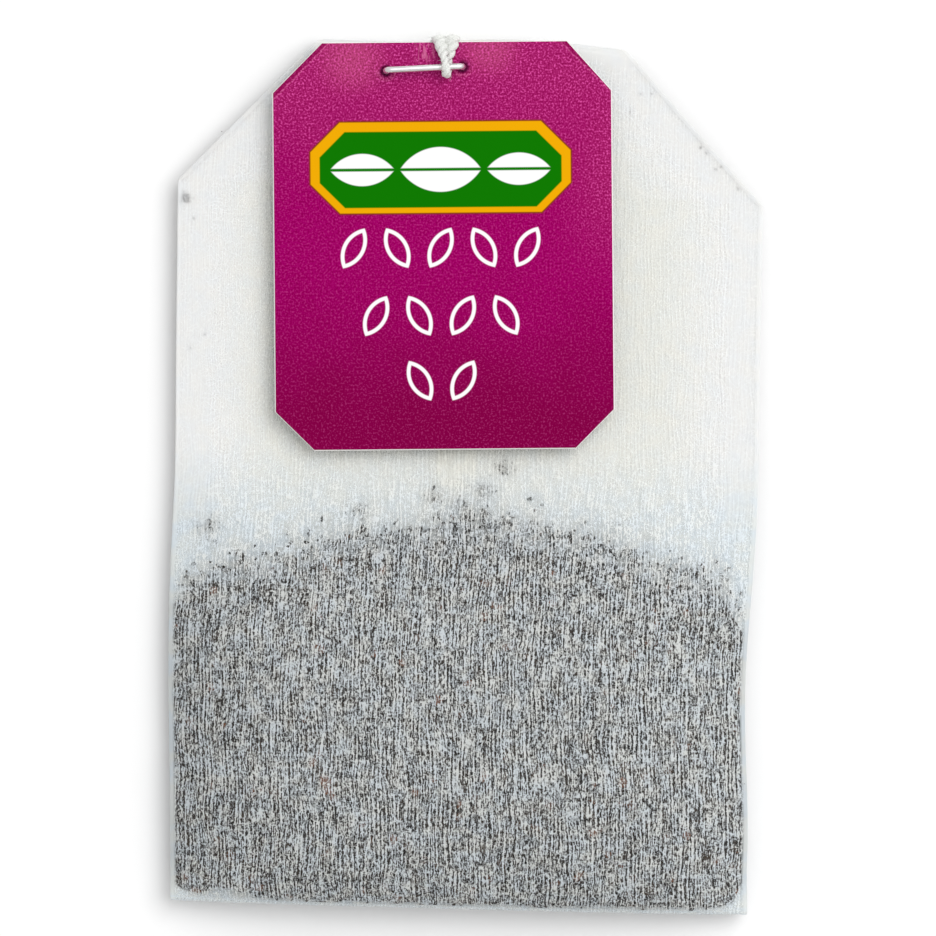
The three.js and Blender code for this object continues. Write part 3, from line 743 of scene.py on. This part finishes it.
sheet = node(tree, "MixShader", {0: back_face, 1: front.outputs[0], 2: clear.outputs[0]})
show(tree, sheet.outputs[0])

filter_bag = closed_mesh("filter_bag", bag_points, bag_faces, filter_paper)
flat_map = filter_bag.data.uv_layers.new(name="flat_paper")
flat_map.data.foreach_set("uv", np.array(bag_places, np.float32).ravel())
fold_map = filter_bag.data.uv_layers.new(name="from_folds")
fold_map.data.foreach_set("uv", np.array(fold_places, np.float32).ravel())
filter_bag.data.shade_smooth()
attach(filter_bag, "root")
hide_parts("filter_bag")

# ---- The tea ----
# Small, dark broken leaf, as fine as coarse sand. A heap of it lies in each chamber, with an
# uneven top line, and a few bits have climbed above it between the plies.
TOP_LINE = [
    (-21.0, 21.5), (-19.3, 23.9), (-13.0, 24.5), (-8.9, 26.1), (-3.4, 26.5), (-0.4, 27.9),
    (5.4, 26.8), (9.7, 25.7), (13.3, 24.6), (18.6, 23.7), (20.4, 20.9),
]
BOTTOM_LINE = [
    (-21.0, 2.2), (-20.3, 0.8), (-18.4, 0.45), (-18.0, 1.0), (-15.2, 1.0), (-14.8, 0.4),
    (7.6, 0.4), (8.6, 0.45), (18.8, 0.45), (19.9, 0.9), (20.5, 2.4),
]
STRAY_CLUSTERS = [(-18.2, 27.1), (2.7, 31.6), (1.3, 29.9), (-2.3, 29.5), (-7.6, 28.3), (-0.4, 29.0)]
STRAYS = 230
DUST = [
    (-19.8, 48.9), (-17.9, 55.2), (-18.1, 42.2), (-18.9, 40.7), (-19.9, 39.7), (16.5, 55.6), (16.9, 55.2),
    (17.6, 54.1), (18.0, 54.3), (18.9, 53.5), (19.2, 52.8), (12.1, 59.1), (12.9, 59.2), (11.4, 57.8),
]
SMUDGE = (-20.4, 50.25)
SMUDGE_BITS = 26
TEA_CLEARANCE = 0.10
TEA_FOOT = 0.3  # no bit lies lower
FRONT_BITS = 8200
BACK_BITS = 6000
CORE_STEPS = (60, 44)
CORE_WIDTH = 0.982  # the solid heap's share of the bag's width
CORE_BELOW_TOP = 1.0
CORE_ABOVE_FOOT = 0.1
LINE_HALF = 20.8  # the top and bottom lines are drawn on a bag this wide to each side
BIT_SIZE = (0.26, 0.72)
STRAY_SIZE = (0.12, 0.3)


def tea_limits(front, y, across, x):
    """The levels of the chamber's floor and roof."""
    bow = bow_at(y) * bulge(across)
    if front:
        floor = MIDDLE + split_at(y) + bow - 0.03
        return floor, floor + 0.06 + stands_off(FRONT_CHAMBER * fullness(y), across, x, y, half_width(y))
    roof = MIDDLE - split_at(y) + bow + 0.03
    depth = stands_off(BACK_CHAMBER * fullness(y), across, x, y, half_width(y))
    return np.maximum(roof - 0.06 - depth, 0.09), roof


def tea_core(front):
    """The solid middle of a heap, with a lumpy surface."""
    columns, lines = CORE_STEPS
    share = np.linspace(-CORE_WIDTH, CORE_WIDTH, columns + 1)[None, :]
    up = np.linspace(0, 1, lines + 1)[:, None]
    top = np.interp(share * LINE_HALF, *np.array(TOP_LINE).T) - CORE_BELOW_TOP
    foot = np.interp(share * LINE_HALF, *np.array(BOTTOM_LINE).T) + CORE_ABOVE_FOOT
    y = foot + (top - foot) * up
    x = place_across(share, y, half_width(y))
    lumps = 0.08 * (1 + ripple(x, y, 1.6, 21)) + 0.05 * ripple(x, y, 0.7, 22) ** 2
    low, high = tea_limits(front, y, share, x)
    middle = (low + high) / 2
    low = np.minimum(low + TEA_CLEARANCE + lumps, middle - 0.01)
    high = np.maximum(high - TEA_CLEARANCE - lumps, middle + 0.01)
    y = skewed(x, y) - BAG_HEIGHT / 2
    points = np.concatenate([np.stack([x, y, level], 2).reshape(-1, 3) for level in (low, high)])
    width = columns + 1
    over = (lines + 1) * width
    faces = []
    for row in range(lines):
        for k in range(columns):
            a, b = row * width + k, (row + 1) * width + k
            faces.append([a, b, b + 1, a + 1])
            faces.append([over + a, over + a + 1, over + b + 1, over + b])
    rim = [k for k in range(columns)]
    rim += [row * width + columns for row in range(lines)]
    rim += [lines * width + k for k in range(columns, 0, -1)]
    rim += [row * width for row in range(lines, 0, -1)]
    for here, there in zip(rim, rim[1:] + rim[:1]):
        faces.append([here, there, over + there, over + here])
    return points, faces


golden = (1 + math.sqrt(5)) / 2
ICOSAHEDRON = np.array(
    [(0, s, t * golden) for s in (-1, 1) for t in (-1, 1)]
    + [(s, t * golden, 0) for s in (-1, 1) for t in (-1, 1)]
    + [(t * golden, 0, s) for s in (-1, 1) for t in (-1, 1)]
) / math.sqrt(1 + golden**2)


def icosahedron_faces():
    """Each three corners that are one edge apart, turned to face out."""
    edge = 2 / math.sqrt(1 + golden**2)
    near = np.abs(np.linalg.norm(ICOSAHEDRON[:, None] - ICOSAHEDRON[None], axis=2) - edge) < 0.01
    found = []
    for a in range(12):
        for b in range(a + 1, 12):
            for c in range(b + 1, 12):
                if near[a, b] and near[b, c] and near[a, c]:
                    pa, pb, pc = ICOSAHEDRON[[a, b, c]]
                    outward = np.dot(np.cross(pb - pa, pc - pa), pa + pb + pc) > 0
                    found.append((a, b, c) if outward else (a, c, b))
    return np.array(found)


def tea_bits(count, front, seed):
    """Broken leaf strewn over the face of a heap, thinning out above its top line."""
    draw = np.random.default_rng(seed)
    across = np.sin(draw.uniform(-0.5, 0.5, count) * math.pi) * 0.6 + draw.uniform(-0.39, 0.39, count)
    top = np.interp(across * LINE_HALF, *np.array(TOP_LINE).T)
    foot = np.interp(across * LINE_HALF, *np.array(BOTTOM_LINE).T)
    y = foot + (top - foot) * draw.uniform(0, 1, count)
    climbing = draw.uniform(0, 1, count) < 0.05
    y = np.where(climbing, top + draw.exponential(0.4, count), y)
    cluster = np.array(STRAY_CLUSTERS)[draw.integers(0, len(STRAY_CLUSTERS), STRAYS)]
    strewn = cluster + draw.normal(0, 0.35, (STRAYS, 2))
    smudge = np.array(SMUDGE) + draw.normal(0, (0.17, 0.24), (SMUDGE_BITS, 2))
    strewn = np.concatenate([strewn, np.array(DUST), smudge]) if front else strewn
    strays = len(strewn)
    y[:strays] = strewn[:, 1]
    across[:strays] = strewn[:, 0] / half_width(y[:strays])
    x = place_across(across, y, half_width(y))
    low, high = tea_limits(front, y, across, x)
    room = np.maximum(high - low, 0.05)
    size = np.minimum(draw.uniform(*BIT_SIZE, count), 0.85 * room + 0.18)
    size[:strays] = draw.uniform(*STRAY_SIZE, strays)
    sunk = draw.uniform(0, 1, count) ** 2 * 0.35
    depth = np.minimum(0.02 + size * 0.40 + sunk, room / 2)
    z = high - depth if front else low + depth
    turn = draw.normal(0, 1, (count, 4))
    w, a, b, c = (turn / np.linalg.norm(turn, axis=1, keepdims=True)).T
    spin = np.array([
        [1 - 2 * (b * b + c * c), 2 * (a * b - w * c), 2 * (a * c + w * b)],
        [2 * (a * b + w * c), 1 - 2 * (a * a + c * c), 2 * (b * c - w * a)],
        [2 * (a * c - w * b), 2 * (b * c + w * a), 1 - 2 * (a * a + b * b)],
    ]).transpose(2, 0, 1)
    shape = ICOSAHEDRON[None] * draw.uniform(0.72, 1.18, (count, 12, 1))
    shape = shape * draw.uniform((0.8, 0.5, 0.32), (1.15, 0.85, 0.6), (count, 3))[:, None]
    shape = np.einsum("nij,nkj->nki", spin, shape) * size[:, None, None] / 2
    shape[:, :, 1] = np.maximum(shape[:, :, 1], TEA_FOOT - y[:, None])
    centre = np.stack([x, skewed(x, y) - BAG_HEIGHT / 2, z], 1)
    up, down = (depth - 0.015, room - depth) if front else (room - depth, depth - 0.015)
    shape[:, :, 2] = np.clip(shape[:, :, 2], -down[:, None], up[:, None])
    faces = icosahedron_faces()[None] + 12 * np.arange(count)[:, None, None]
    return (shape + centre[:, None]).reshape(-1, 3), faces.reshape(-1, 3)


tea_leaf, tree = new_material("tea_leaf")
place = node(tree, "TexCoord").outputs["Object"]
kinds = node(tree, "TexVoronoi", {"Vector": place, "Scale": 1900})
chance = node(tree, "SeparateColor", {0: kinds.outputs["Color"]}).outputs[0]
tint = node(tree, "ValToRGB", {"Fac": chance})
ramp = tint.color_ramp
ramp.elements[0].color = (0.010, 0.008, 0.007, 1)
ramp.elements[1].position, ramp.elements[1].color = 0.88, (0.035, 0.025, 0.018, 1)
for spot, colour in ((0.975, (0.06, 0.042, 0.028, 1)), (0.994, (0.17, 0.07, 0.035, 1))):
    ramp.elements.new(spot).color = colour
rough = node(tree, "TexNoise", {"Vector": place, "Scale": 12000, "Detail": 2})
pits = node(tree, "Bump", {"Height": rough.outputs["Fac"], "Strength": 0.6, "Distance": 0.03 * MM})
leaf = node(tree, "BsdfPrincipled", {"Base Color": tint.outputs[0], "Normal": pits.outputs[0]})
leaf.inputs["Roughness"].default_value = 0.75
show(tree, leaf.outputs[0])

for name, front, bits, seed in (("tea_front", True, FRONT_BITS, 31), ("tea_back", False, BACK_BITS, 32)):
    core_points, core_faces = tea_core(front)
    bit_points, bit_faces = tea_bits(bits, front, seed)
    faces = core_faces + (bit_faces + len(core_points)).tolist()
    tea = closed_mesh(name + "_leaf", np.concatenate([core_points, bit_points]), faces, tea_leaf)
    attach(tea, "root")
    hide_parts(name)

# ---- The staples ----
# Two staples of one thin round steel wire. The bag's staple goes through the folded head and is
# clinched on the back, and the tag's staple holds the string to the card.
WIRE = 0.46
WIRE_BEND = 0.42
WIRE_SIDES = 16


def staple_path(width, crown, clinch_level, clinch):
    """The middle of the wire from tip to tip, with round bends."""
    half = width / 2
    corners = [
        (-half + clinch, 0, clinch_level), (-half, 0, clinch_level), (-half, 0, crown),
        (half, 0, crown), (half, 0, clinch_level), (half - clinch, 0, clinch_level),
    ]
    corners = np.array(corners, float)
    path = [corners[0]]
    for before, corner, after in zip(corners, corners[1:], corners[2:]):
        into = corner + unit(before - corner) * WIRE_BEND
        out = corner + unit(after - corner) * WIRE_BEND
        for t in np.linspace(0, 1, 9):
            path.append((1 - t) ** 2 * into + 2 * t * (1 - t) * corner + t**2 * out)
    path.append(corners[-1])
    return np.array(path)


steel, tree = new_material("staple_wire")
place = node(tree, "TexCoord").outputs["Object"]
drawn = node(tree, "Mapping", {"Vector": place, "Scale": (500, 9000, 9000)})
scratch = node(tree, "TexNoise", {"Vector": drawn.outputs[0], "Scale": 1, "Detail": 3})
tint = node(tree, "ValToRGB", {"Fac": scratch.outputs["Fac"]})
tint.color_ramp.elements[0].color = (0.66, 0.65, 0.65, 1)
tint.color_ramp.elements[1].color = (0.97, 0.96, 0.96, 1)
dull = ease(tree, scratch.outputs["Fac"], 0.2, 0.9)
dull = calc(tree, "MULTIPLY_ADD", dull, 0.2, 0.32)
lines = node(tree, "Bump", {"Height": scratch.outputs["Fac"], "Strength": 0.15, "Distance": 0.01 * MM})
metal = {"Base Color": tint.outputs[0], "Roughness": dull, "Normal": lines.outputs[0]}
metal = node(tree, "BsdfPrincipled", metal)
metal.inputs["Metallic"].default_value = 1
show(tree, metal.outputs[0])


def staple(name, clinch, turn):
    """A smooth wire in the place of the plain staple of that name."""
    low, high = (np.array(corner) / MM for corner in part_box(name))
    width = (high[0] - low[0]) / math.cos(turn) - WIRE - WIRE * abs(math.sin(turn))
    path = staple_path(width, high[2] - WIRE / 2, low[2] + WIRE / 2, clinch)
    spun = path.copy()
    spun[:, 0] = path[:, 0] * math.cos(turn)
    spun[:, 1] = path[:, 0] * math.sin(turn)
    spun[:, :2] += ((low + high) / 2)[:2]
    points, faces = tube(spun, WIRE / 2, WIRE_SIDES)
    wire = closed_mesh(name + "_wire", points, faces, steel)
    wire.data.shade_smooth()
    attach(wire, "root")
    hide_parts(name)


staple("bag_staple", 2.0, 0.0)
staple("tag_staple", 1.6, math.radians(3.8))

# ---- The tag ----
# A small card with cut corners, white inside and printed on its front with a plum field, a
# plain green label edged in amber, and thin white ornaments. It lies on the coil of string.
TAG_WIDTH = 24.3
TAG_LENGTH = 29.2
TAG_CENTRE = (-1.86, 16.3)
EDGE_ROUND = 0.06  # the card's printed face is rounded off over this depth
TAG_TURN = math.radians(1.4)
TOP_CORNER = 3.6
RIGHT_TOP_CORNER = 3.2
BOTTOM_CORNER = 2.8
CUT_EDGE = 0.07
STAPLE_LEGS = [(-4.0, 12.51), (1.5, 12.75)]
tag_low, tag_high = (corner[2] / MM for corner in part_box("tag"))


def tag_edges(y):
    """How far the card reaches to the left and to the right at a height on it."""
    half_x, half_y = TAG_WIDTH / 2, TAG_LENGTH / 2
    top, bottom = half_y - y, half_y + y
    left = half_x - max(0, TOP_CORNER - top, BOTTOM_CORNER - bottom)
    right = half_x
    if top < TOP_CORNER:
        right -= (TOP_CORNER - top) * RIGHT_TOP_CORNER / TOP_CORNER
    if bottom < BOTTOM_CORNER:
        right -= BOTTOM_CORNER - bottom
    return left, right


def tag_dents(x, y):
    """The card is pulled in at the staple's legs and curls a little."""
    dent = 0
    for leg_x, leg_y in STAPLE_LEGS:
        away = (x - leg_x) ** 2 + (y - leg_y) ** 2
        dent = dent - 0.22 * np.exp(-away / 0.12) + 0.07 * np.exp(-((np.sqrt(away) - 0.75) ** 2) / 0.06)
    pull = 0.05 * np.exp(-((x + 1.2) ** 2) / 6 - ((y - 13.6) ** 2) / 1.2)
    return dent + pull + 0.03 * ripple(x, y, 16.0, 41)


half_y = TAG_LENGTH / 2
tag_rows = sorted({
    *np.round(np.linspace(-half_y, 11.0, 40), 4), *np.round(np.linspace(11.0, half_y, 30), 4),
    half_y - TOP_CORNER, -half_y + BOTTOM_CORNER, -half_y + CUT_EDGE, half_y - CUT_EDGE,
})
tag_columns = np.linspace(-1, 1, 131)
grid = []
for level, inset in ((tag_low, 0), (tag_high - EDGE_ROUND, 0), (tag_high, CUT_EDGE)):
    sheet_rows = []
    for y in tag_rows:
        inner_y = np.clip(y, -half_y + inset, half_y - inset)
        left, right = tag_edges(inner_y)
        x = np.where(tag_columns < 0, tag_columns * (left - inset), tag_columns * (right - inset))
        z = level + tag_dents(x, inner_y)
        sheet_rows.append(np.stack([x, np.full_like(x, inner_y), z], 1))
    grid.append(sheet_rows)
grid = np.array(grid)
flat_print = grid[:, :, :, :2].copy()
cos_turn, sin_turn = math.cos(TAG_TURN), math.sin(TAG_TURN)
tag_points = grid.copy()
tag_points[..., 0] = grid[..., 0] * cos_turn - grid[..., 1] * sin_turn + TAG_CENTRE[0]
tag_points[..., 1] = grid[..., 0] * sin_turn + grid[..., 1] * cos_turn + TAG_CENTRE[1]

tag_faces = []
printed = []
count_y, count_x = len(tag_rows), len(tag_columns)


def tag_corner(sheet_number, row, k):
    return (sheet_number * count_y + row) * count_x + k


for row in range(count_y - 1):
    for k in range(count_x - 1):
        around_cell = [(row, k), (row, k + 1), (row + 1, k + 1), (row + 1, k)]
        tag_faces.append([tag_corner(2, *cell) for cell in around_cell])
        tag_faces.append([tag_corner(0, *cell) for cell in reversed(around_cell)])
        printed += [True, False]
rim = [(0, k) for k in range(count_x - 1)]
rim += [(row, count_x - 1) for row in range(count_y - 1)]
rim += [(count_y - 1, k) for k in range(count_x - 1, 0, -1)]
rim += [(row, 0) for row in range(count_y - 1, 0, -1)]
for here, there in zip(rim, rim[1:] + rim[:1]):
    for sheet_number in (0, 1):
        lower = [tag_corner(sheet_number, *here), tag_corner(sheet_number, *there)]
        upper = [tag_corner(sheet_number + 1, *there), tag_corner(sheet_number + 1, *here)]
        tag_faces.append(lower + upper)
        printed.append(False)

white_card, tree = new_material("white_card")
place = node(tree, "TexCoord").outputs["Object"]
pulp = node(tree, "TexNoise", {"Vector": place, "Scale": 2500, "Detail": 4})
tint = mix(tree, pulp.outputs["Fac"], (0.74, 0.73, 0.71, 1), (0.90, 0.89, 0.87, 1))
fibre_bump = node(tree, "Bump", {"Height": pulp.outputs["Fac"], "Strength": 0.3, "Distance": 0.02 * MM})
board = node(tree, "BsdfPrincipled", {"Base Color": tint, "Normal": fibre_bump.outputs[0]})
board.inputs["Roughness"].default_value = 0.8
show(tree, board.outputs[0])

print_ink, tree = new_material("printed_card")
spot = node(tree, "UVMap", uv_map="print").outputs[0]
parts = node(tree, "SeparateXYZ", {0: spot})
px, py = parts.outputs[0], parts.outputs[1]


def apart(tree, value, centre):
    return calc(tree, "ABSOLUTE", less(tree, value, centre))


def distance(tree, x, y):
    return calc(tree, "SQRT", calc(tree, "ADD", times(tree, x, x), times(tree, y, y)))


def cut_corner_box(tree, centre, half, corner):
    """The distance outside a box with cut corners, in millimetres."""
    dx = less(tree, apart(tree, px, centre[0]), half[0])
    dy = less(tree, apart(tree, py, centre[1]), half[1])
    slant = times(tree, calc(tree, "ADD", calc(tree, "ADD", dx, dy), corner), math.sqrt(0.5))
    return calc(tree, "MAXIMUM", calc(tree, "MAXIMUM", dx, dy), slant)


def leaf_shape(tree, x, y, half_long, half_wide):
    """The distance outside a pointed leaf that lies along x, in millimetres."""
    radius = (half_long**2 + half_wide**2) / (2 * half_wide)
    down = calc(tree, "ADD", calc(tree, "ABSOLUTE", y), radius - half_wide)
    return less(tree, distance(tree, x, down), radius)


def inked(tree, distance, edge=0.0, soft=0.05):
    """1 inside a shape and 0 outside it."""
    return ease(tree, distance, edge + soft, edge - soft)


def outlined(tree, distance, width):
    return inked(tree, less(tree, calc(tree, "ABSOLUTE", distance), width / 2))


PLUM = (0.325, 0.0004, 0.118, 1)
DEEP_PLUM = (0.205, 0.0002, 0.052, 1)
SHEEN_PLUM = (0.35, 0.012, 0.125, 1)
PINK_SPECK = (0.74, 0.09, 0.38, 1)
WORN_PINK = (0.62, 0.14, 0.31, 1)
RUBBED = (0.52, 0.080, 0.20, 1)
GREEN = (0.005, 0.172, 0.001, 1)
AMBER = (0.80, 0.375, 0.002, 1)
RUST = (0.22, 0.030, 0.005, 1)
INK_WHITE = (0.93, 0.90, 0.92, 1)
DENT_SHADOW = (0.03, 0.0, 0.012, 1)
LABEL_CENTRE = (-0.15, 5.6)
LABEL_HALF = (9.3, 3.25)
LABEL_CORNER = 2.1
GREEN_CENTRE = (-0.15, 5.45)
GREEN_HALF = (8.65, 2.72)
GREEN_CORNER = 1.8
LINE_WIDTH = 0.30

speckle = node(tree, "TexNoise", {"Vector": spot, "Scale": 7.0, "Detail": 3}, noise_dimensions="2D")
cloud = node(tree, "TexNoise", {"Vector": spot, "Scale": 0.25, "Detail": 2}, noise_dimensions="2D")
# Painted sheen: the plum field is painted paler towards the top and the right side, where the lamp's sheen
# falls on the print, and the pink specks are painted brighter there.
upper = ease(tree, calc(tree, "MULTIPLY_ADD", cloud.outputs["Fac"], 5.0, py), 4.0, 16.0)
righter = times(tree, ease(tree, px, 7.0, 12.5), ease(tree, py, -4.0, 6.0))
painted_sheen = calc(tree, "MAXIMUM", upper, righter)
lower = ease(tree, calc(tree, "MULTIPLY_ADD", cloud.outputs["Fac"], -5.0, py), -3.0, -16.0)
field = mix(tree, lower, PLUM, DEEP_PLUM)
field = mix(tree, painted_sheen, field, SHEEN_PLUM)
specks_and_sheen = calc(tree, "MULTIPLY_ADD", painted_sheen, 0.75, 0.25)
specks_and_sheen = times(tree, ease(tree, speckle.outputs["Fac"], 0.50, 0.76), specks_and_sheen)
RUBS = [(-6.4, 13.4, 3.2), (3.4, 14.2, 2.8)]
for rub_x, rub_y, reach in RUBS:
    from_rub = distance(tree, apart(tree, px, rub_x), apart(tree, py, rub_y))
    rubbed = times(tree, ease(tree, from_rub, reach, 0.4), 0.55)
    field = mix(tree, rubbed, field, RUBBED)
field = mix(tree, specks_and_sheen, field, PINK_SPECK)
dark = times(tree, ease(tree, speckle.outputs["Fac"], 0.50, 0.30), 0.65)
field = mix(tree, dark, field, DEEP_PLUM)

# The ink is cracked along the two upper corners, beside the string and round the staple's legs, and the
# dents round the legs are darkened with painted shade.
to_left = calc(tree, "ADD", less(tree, px, py), TAG_WIDTH / 2 + TAG_LENGTH / 2 - TOP_CORNER)
to_right = calc(tree, "ADD", calc(tree, "ADD", px, py), -TAG_WIDTH / 2 - TAG_LENGTH / 2 + RIGHT_TOP_CORNER)
from_corner = calc(tree, "MINIMUM", to_left, times(tree, to_right, -1.0))
from_corner = times(tree, from_corner, math.sqrt(0.5))
field = mix(tree, times(tree, ease(tree, from_corner, 0.36, 0.28), 0.6), field, DEEP_PLUM)
crack = ease(tree, apart(tree, from_corner, 0.40), 0.07, 0.02)
crack = times(tree, crack, ease(tree, speckle.outputs["Fac"], 0.35, 0.6))
field = mix(tree, times(tree, crack, 0.5), field, WORN_PINK)
pulled = node(tree, "Mapping", {"Vector": spot, "Scale": (5.0, 0.9, 1.0)})
pulled = {"Vector": pulled.outputs[0], "Scale": 1.0, "Detail": 2}
pulled = node(tree, "TexNoise", pulled, noise_dimensions="2D")
crease = times(tree, ease(tree, apart(tree, px, -1.15), 1.0, 0.3), ease(tree, py, 12.9, 13.5))
crease = times(tree, crease, ease(tree, pulled.outputs["Fac"], 0.45, 0.62))
field = mix(tree, times(tree, crease, 0.8), field, WORN_PINK)
for leg_x, leg_y in STAPLE_LEGS:
    from_leg = distance(tree, apart(tree, px, leg_x), apart(tree, py, leg_y))
    lip = times(tree, ease(tree, apart(tree, from_leg, 0.62), 0.22, 0.05), ease(tree, py, 12.7, 12.3))
    lip = times(tree, lip, ease(tree, speckle.outputs["Fac"], 0.38, 0.6))
    field = mix(tree, times(tree, lip, 0.4), field, WORN_PINK)
    # Painted shade in the dent round each leg.
    field = mix(tree, times(tree, ease(tree, from_leg, 0.55, 0.3), 0.8), field, DENT_SHADOW)

label = cut_corner_box(tree, LABEL_CENTRE, LABEL_HALF, LABEL_CORNER)
field = mix(tree, inked(tree, label, 0.10, 0.07), field, RUST)
field = mix(tree, inked(tree, label), field, AMBER)
label = cut_corner_box(tree, GREEN_CENTRE, GREEN_HALF, GREEN_CORNER)
field = mix(tree, inked(tree, label), field, GREEN)

LABEL_LEAVES = [(-5.6, 2.3, 1.15), (0.0, 2.9, 1.6), (5.6, 2.3, 1.15)]
for centre_x, long, wide in LABEL_LEAVES:
    x = less(tree, px, GREEN_CENTRE[0] + centre_x)
    y = less(tree, py, GREEN_CENTRE[1])
    shape = leaf_shape(tree, x, y, long, wide)
    vein = calc(tree, "MAXIMUM", shape, less(tree, 0.11, calc(tree, "ABSOLUTE", y)))
    field = mix(tree, inked(tree, vein), field, INK_WHITE)

ORNAMENTS = [(-0.15, 5), (-5.0, 4), (-9.65, 2)]
LEAF_PITCH = 3.1
for row_y, leaves in ORNAMENTS:
    x = less(tree, px, -0.2)
    y = less(tree, py, row_y)
    offset = 0.5 if leaves % 2 else 0.0
    cell = calc(tree, "FLOOR", calc(tree, "MULTIPLY_ADD", x, 1 / LEAF_PITCH, offset))
    inside = less(tree, x, times(tree, calc(tree, "ADD", cell, 0.5 - offset), LEAF_PITCH))
    odd = less(tree, times(tree, calc(tree, "PINGPONG", cell, 1.0), 2.0), 1.0)
    lean = times(tree, odd, 0.55)
    tilted_x = calc(tree, "MULTIPLY_ADD", y, lean, inside)
    tilted_y = less(tree, y, times(tree, inside, lean))
    shape = leaf_shape(tree, tilted_y, tilted_x, 1.65, 0.75)
    within = inked(tree, less(tree, calc(tree, "ABSOLUTE", x), leaves * LEAF_PITCH / 2))
    field = mix(tree, times(tree, outlined(tree, shape, LINE_WIDTH), within), field, INK_WHITE)

creases = node(tree, "Bump", {"Height": speckle.outputs["Fac"], "Strength": 0.25, "Distance": 0.03 * MM})
ink = node(tree, "BsdfPrincipled", {"Base Color": field, "Normal": creases.outputs[0]})
ink.inputs["Roughness"].default_value = 0.6
ink.inputs["Specular IOR Level"].default_value = 0.0
show(tree, ink.outputs[0])

tag = closed_mesh("tag_card", tag_points.reshape(-1, 3), tag_faces, print_ink)
tag.data.materials.append(white_card)
tag.data.polygons.foreach_set("material_index", [0 if face else 1 for face in printed])
print_map = tag.data.uv_layers.new(name="print")
corners = [corner for face in tag_faces for corner in face]
print_map.data.foreach_set("uv", flat_print.reshape(-1, 2)[corners].astype(np.float32).ravel())
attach(tag, "root")
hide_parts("tag")
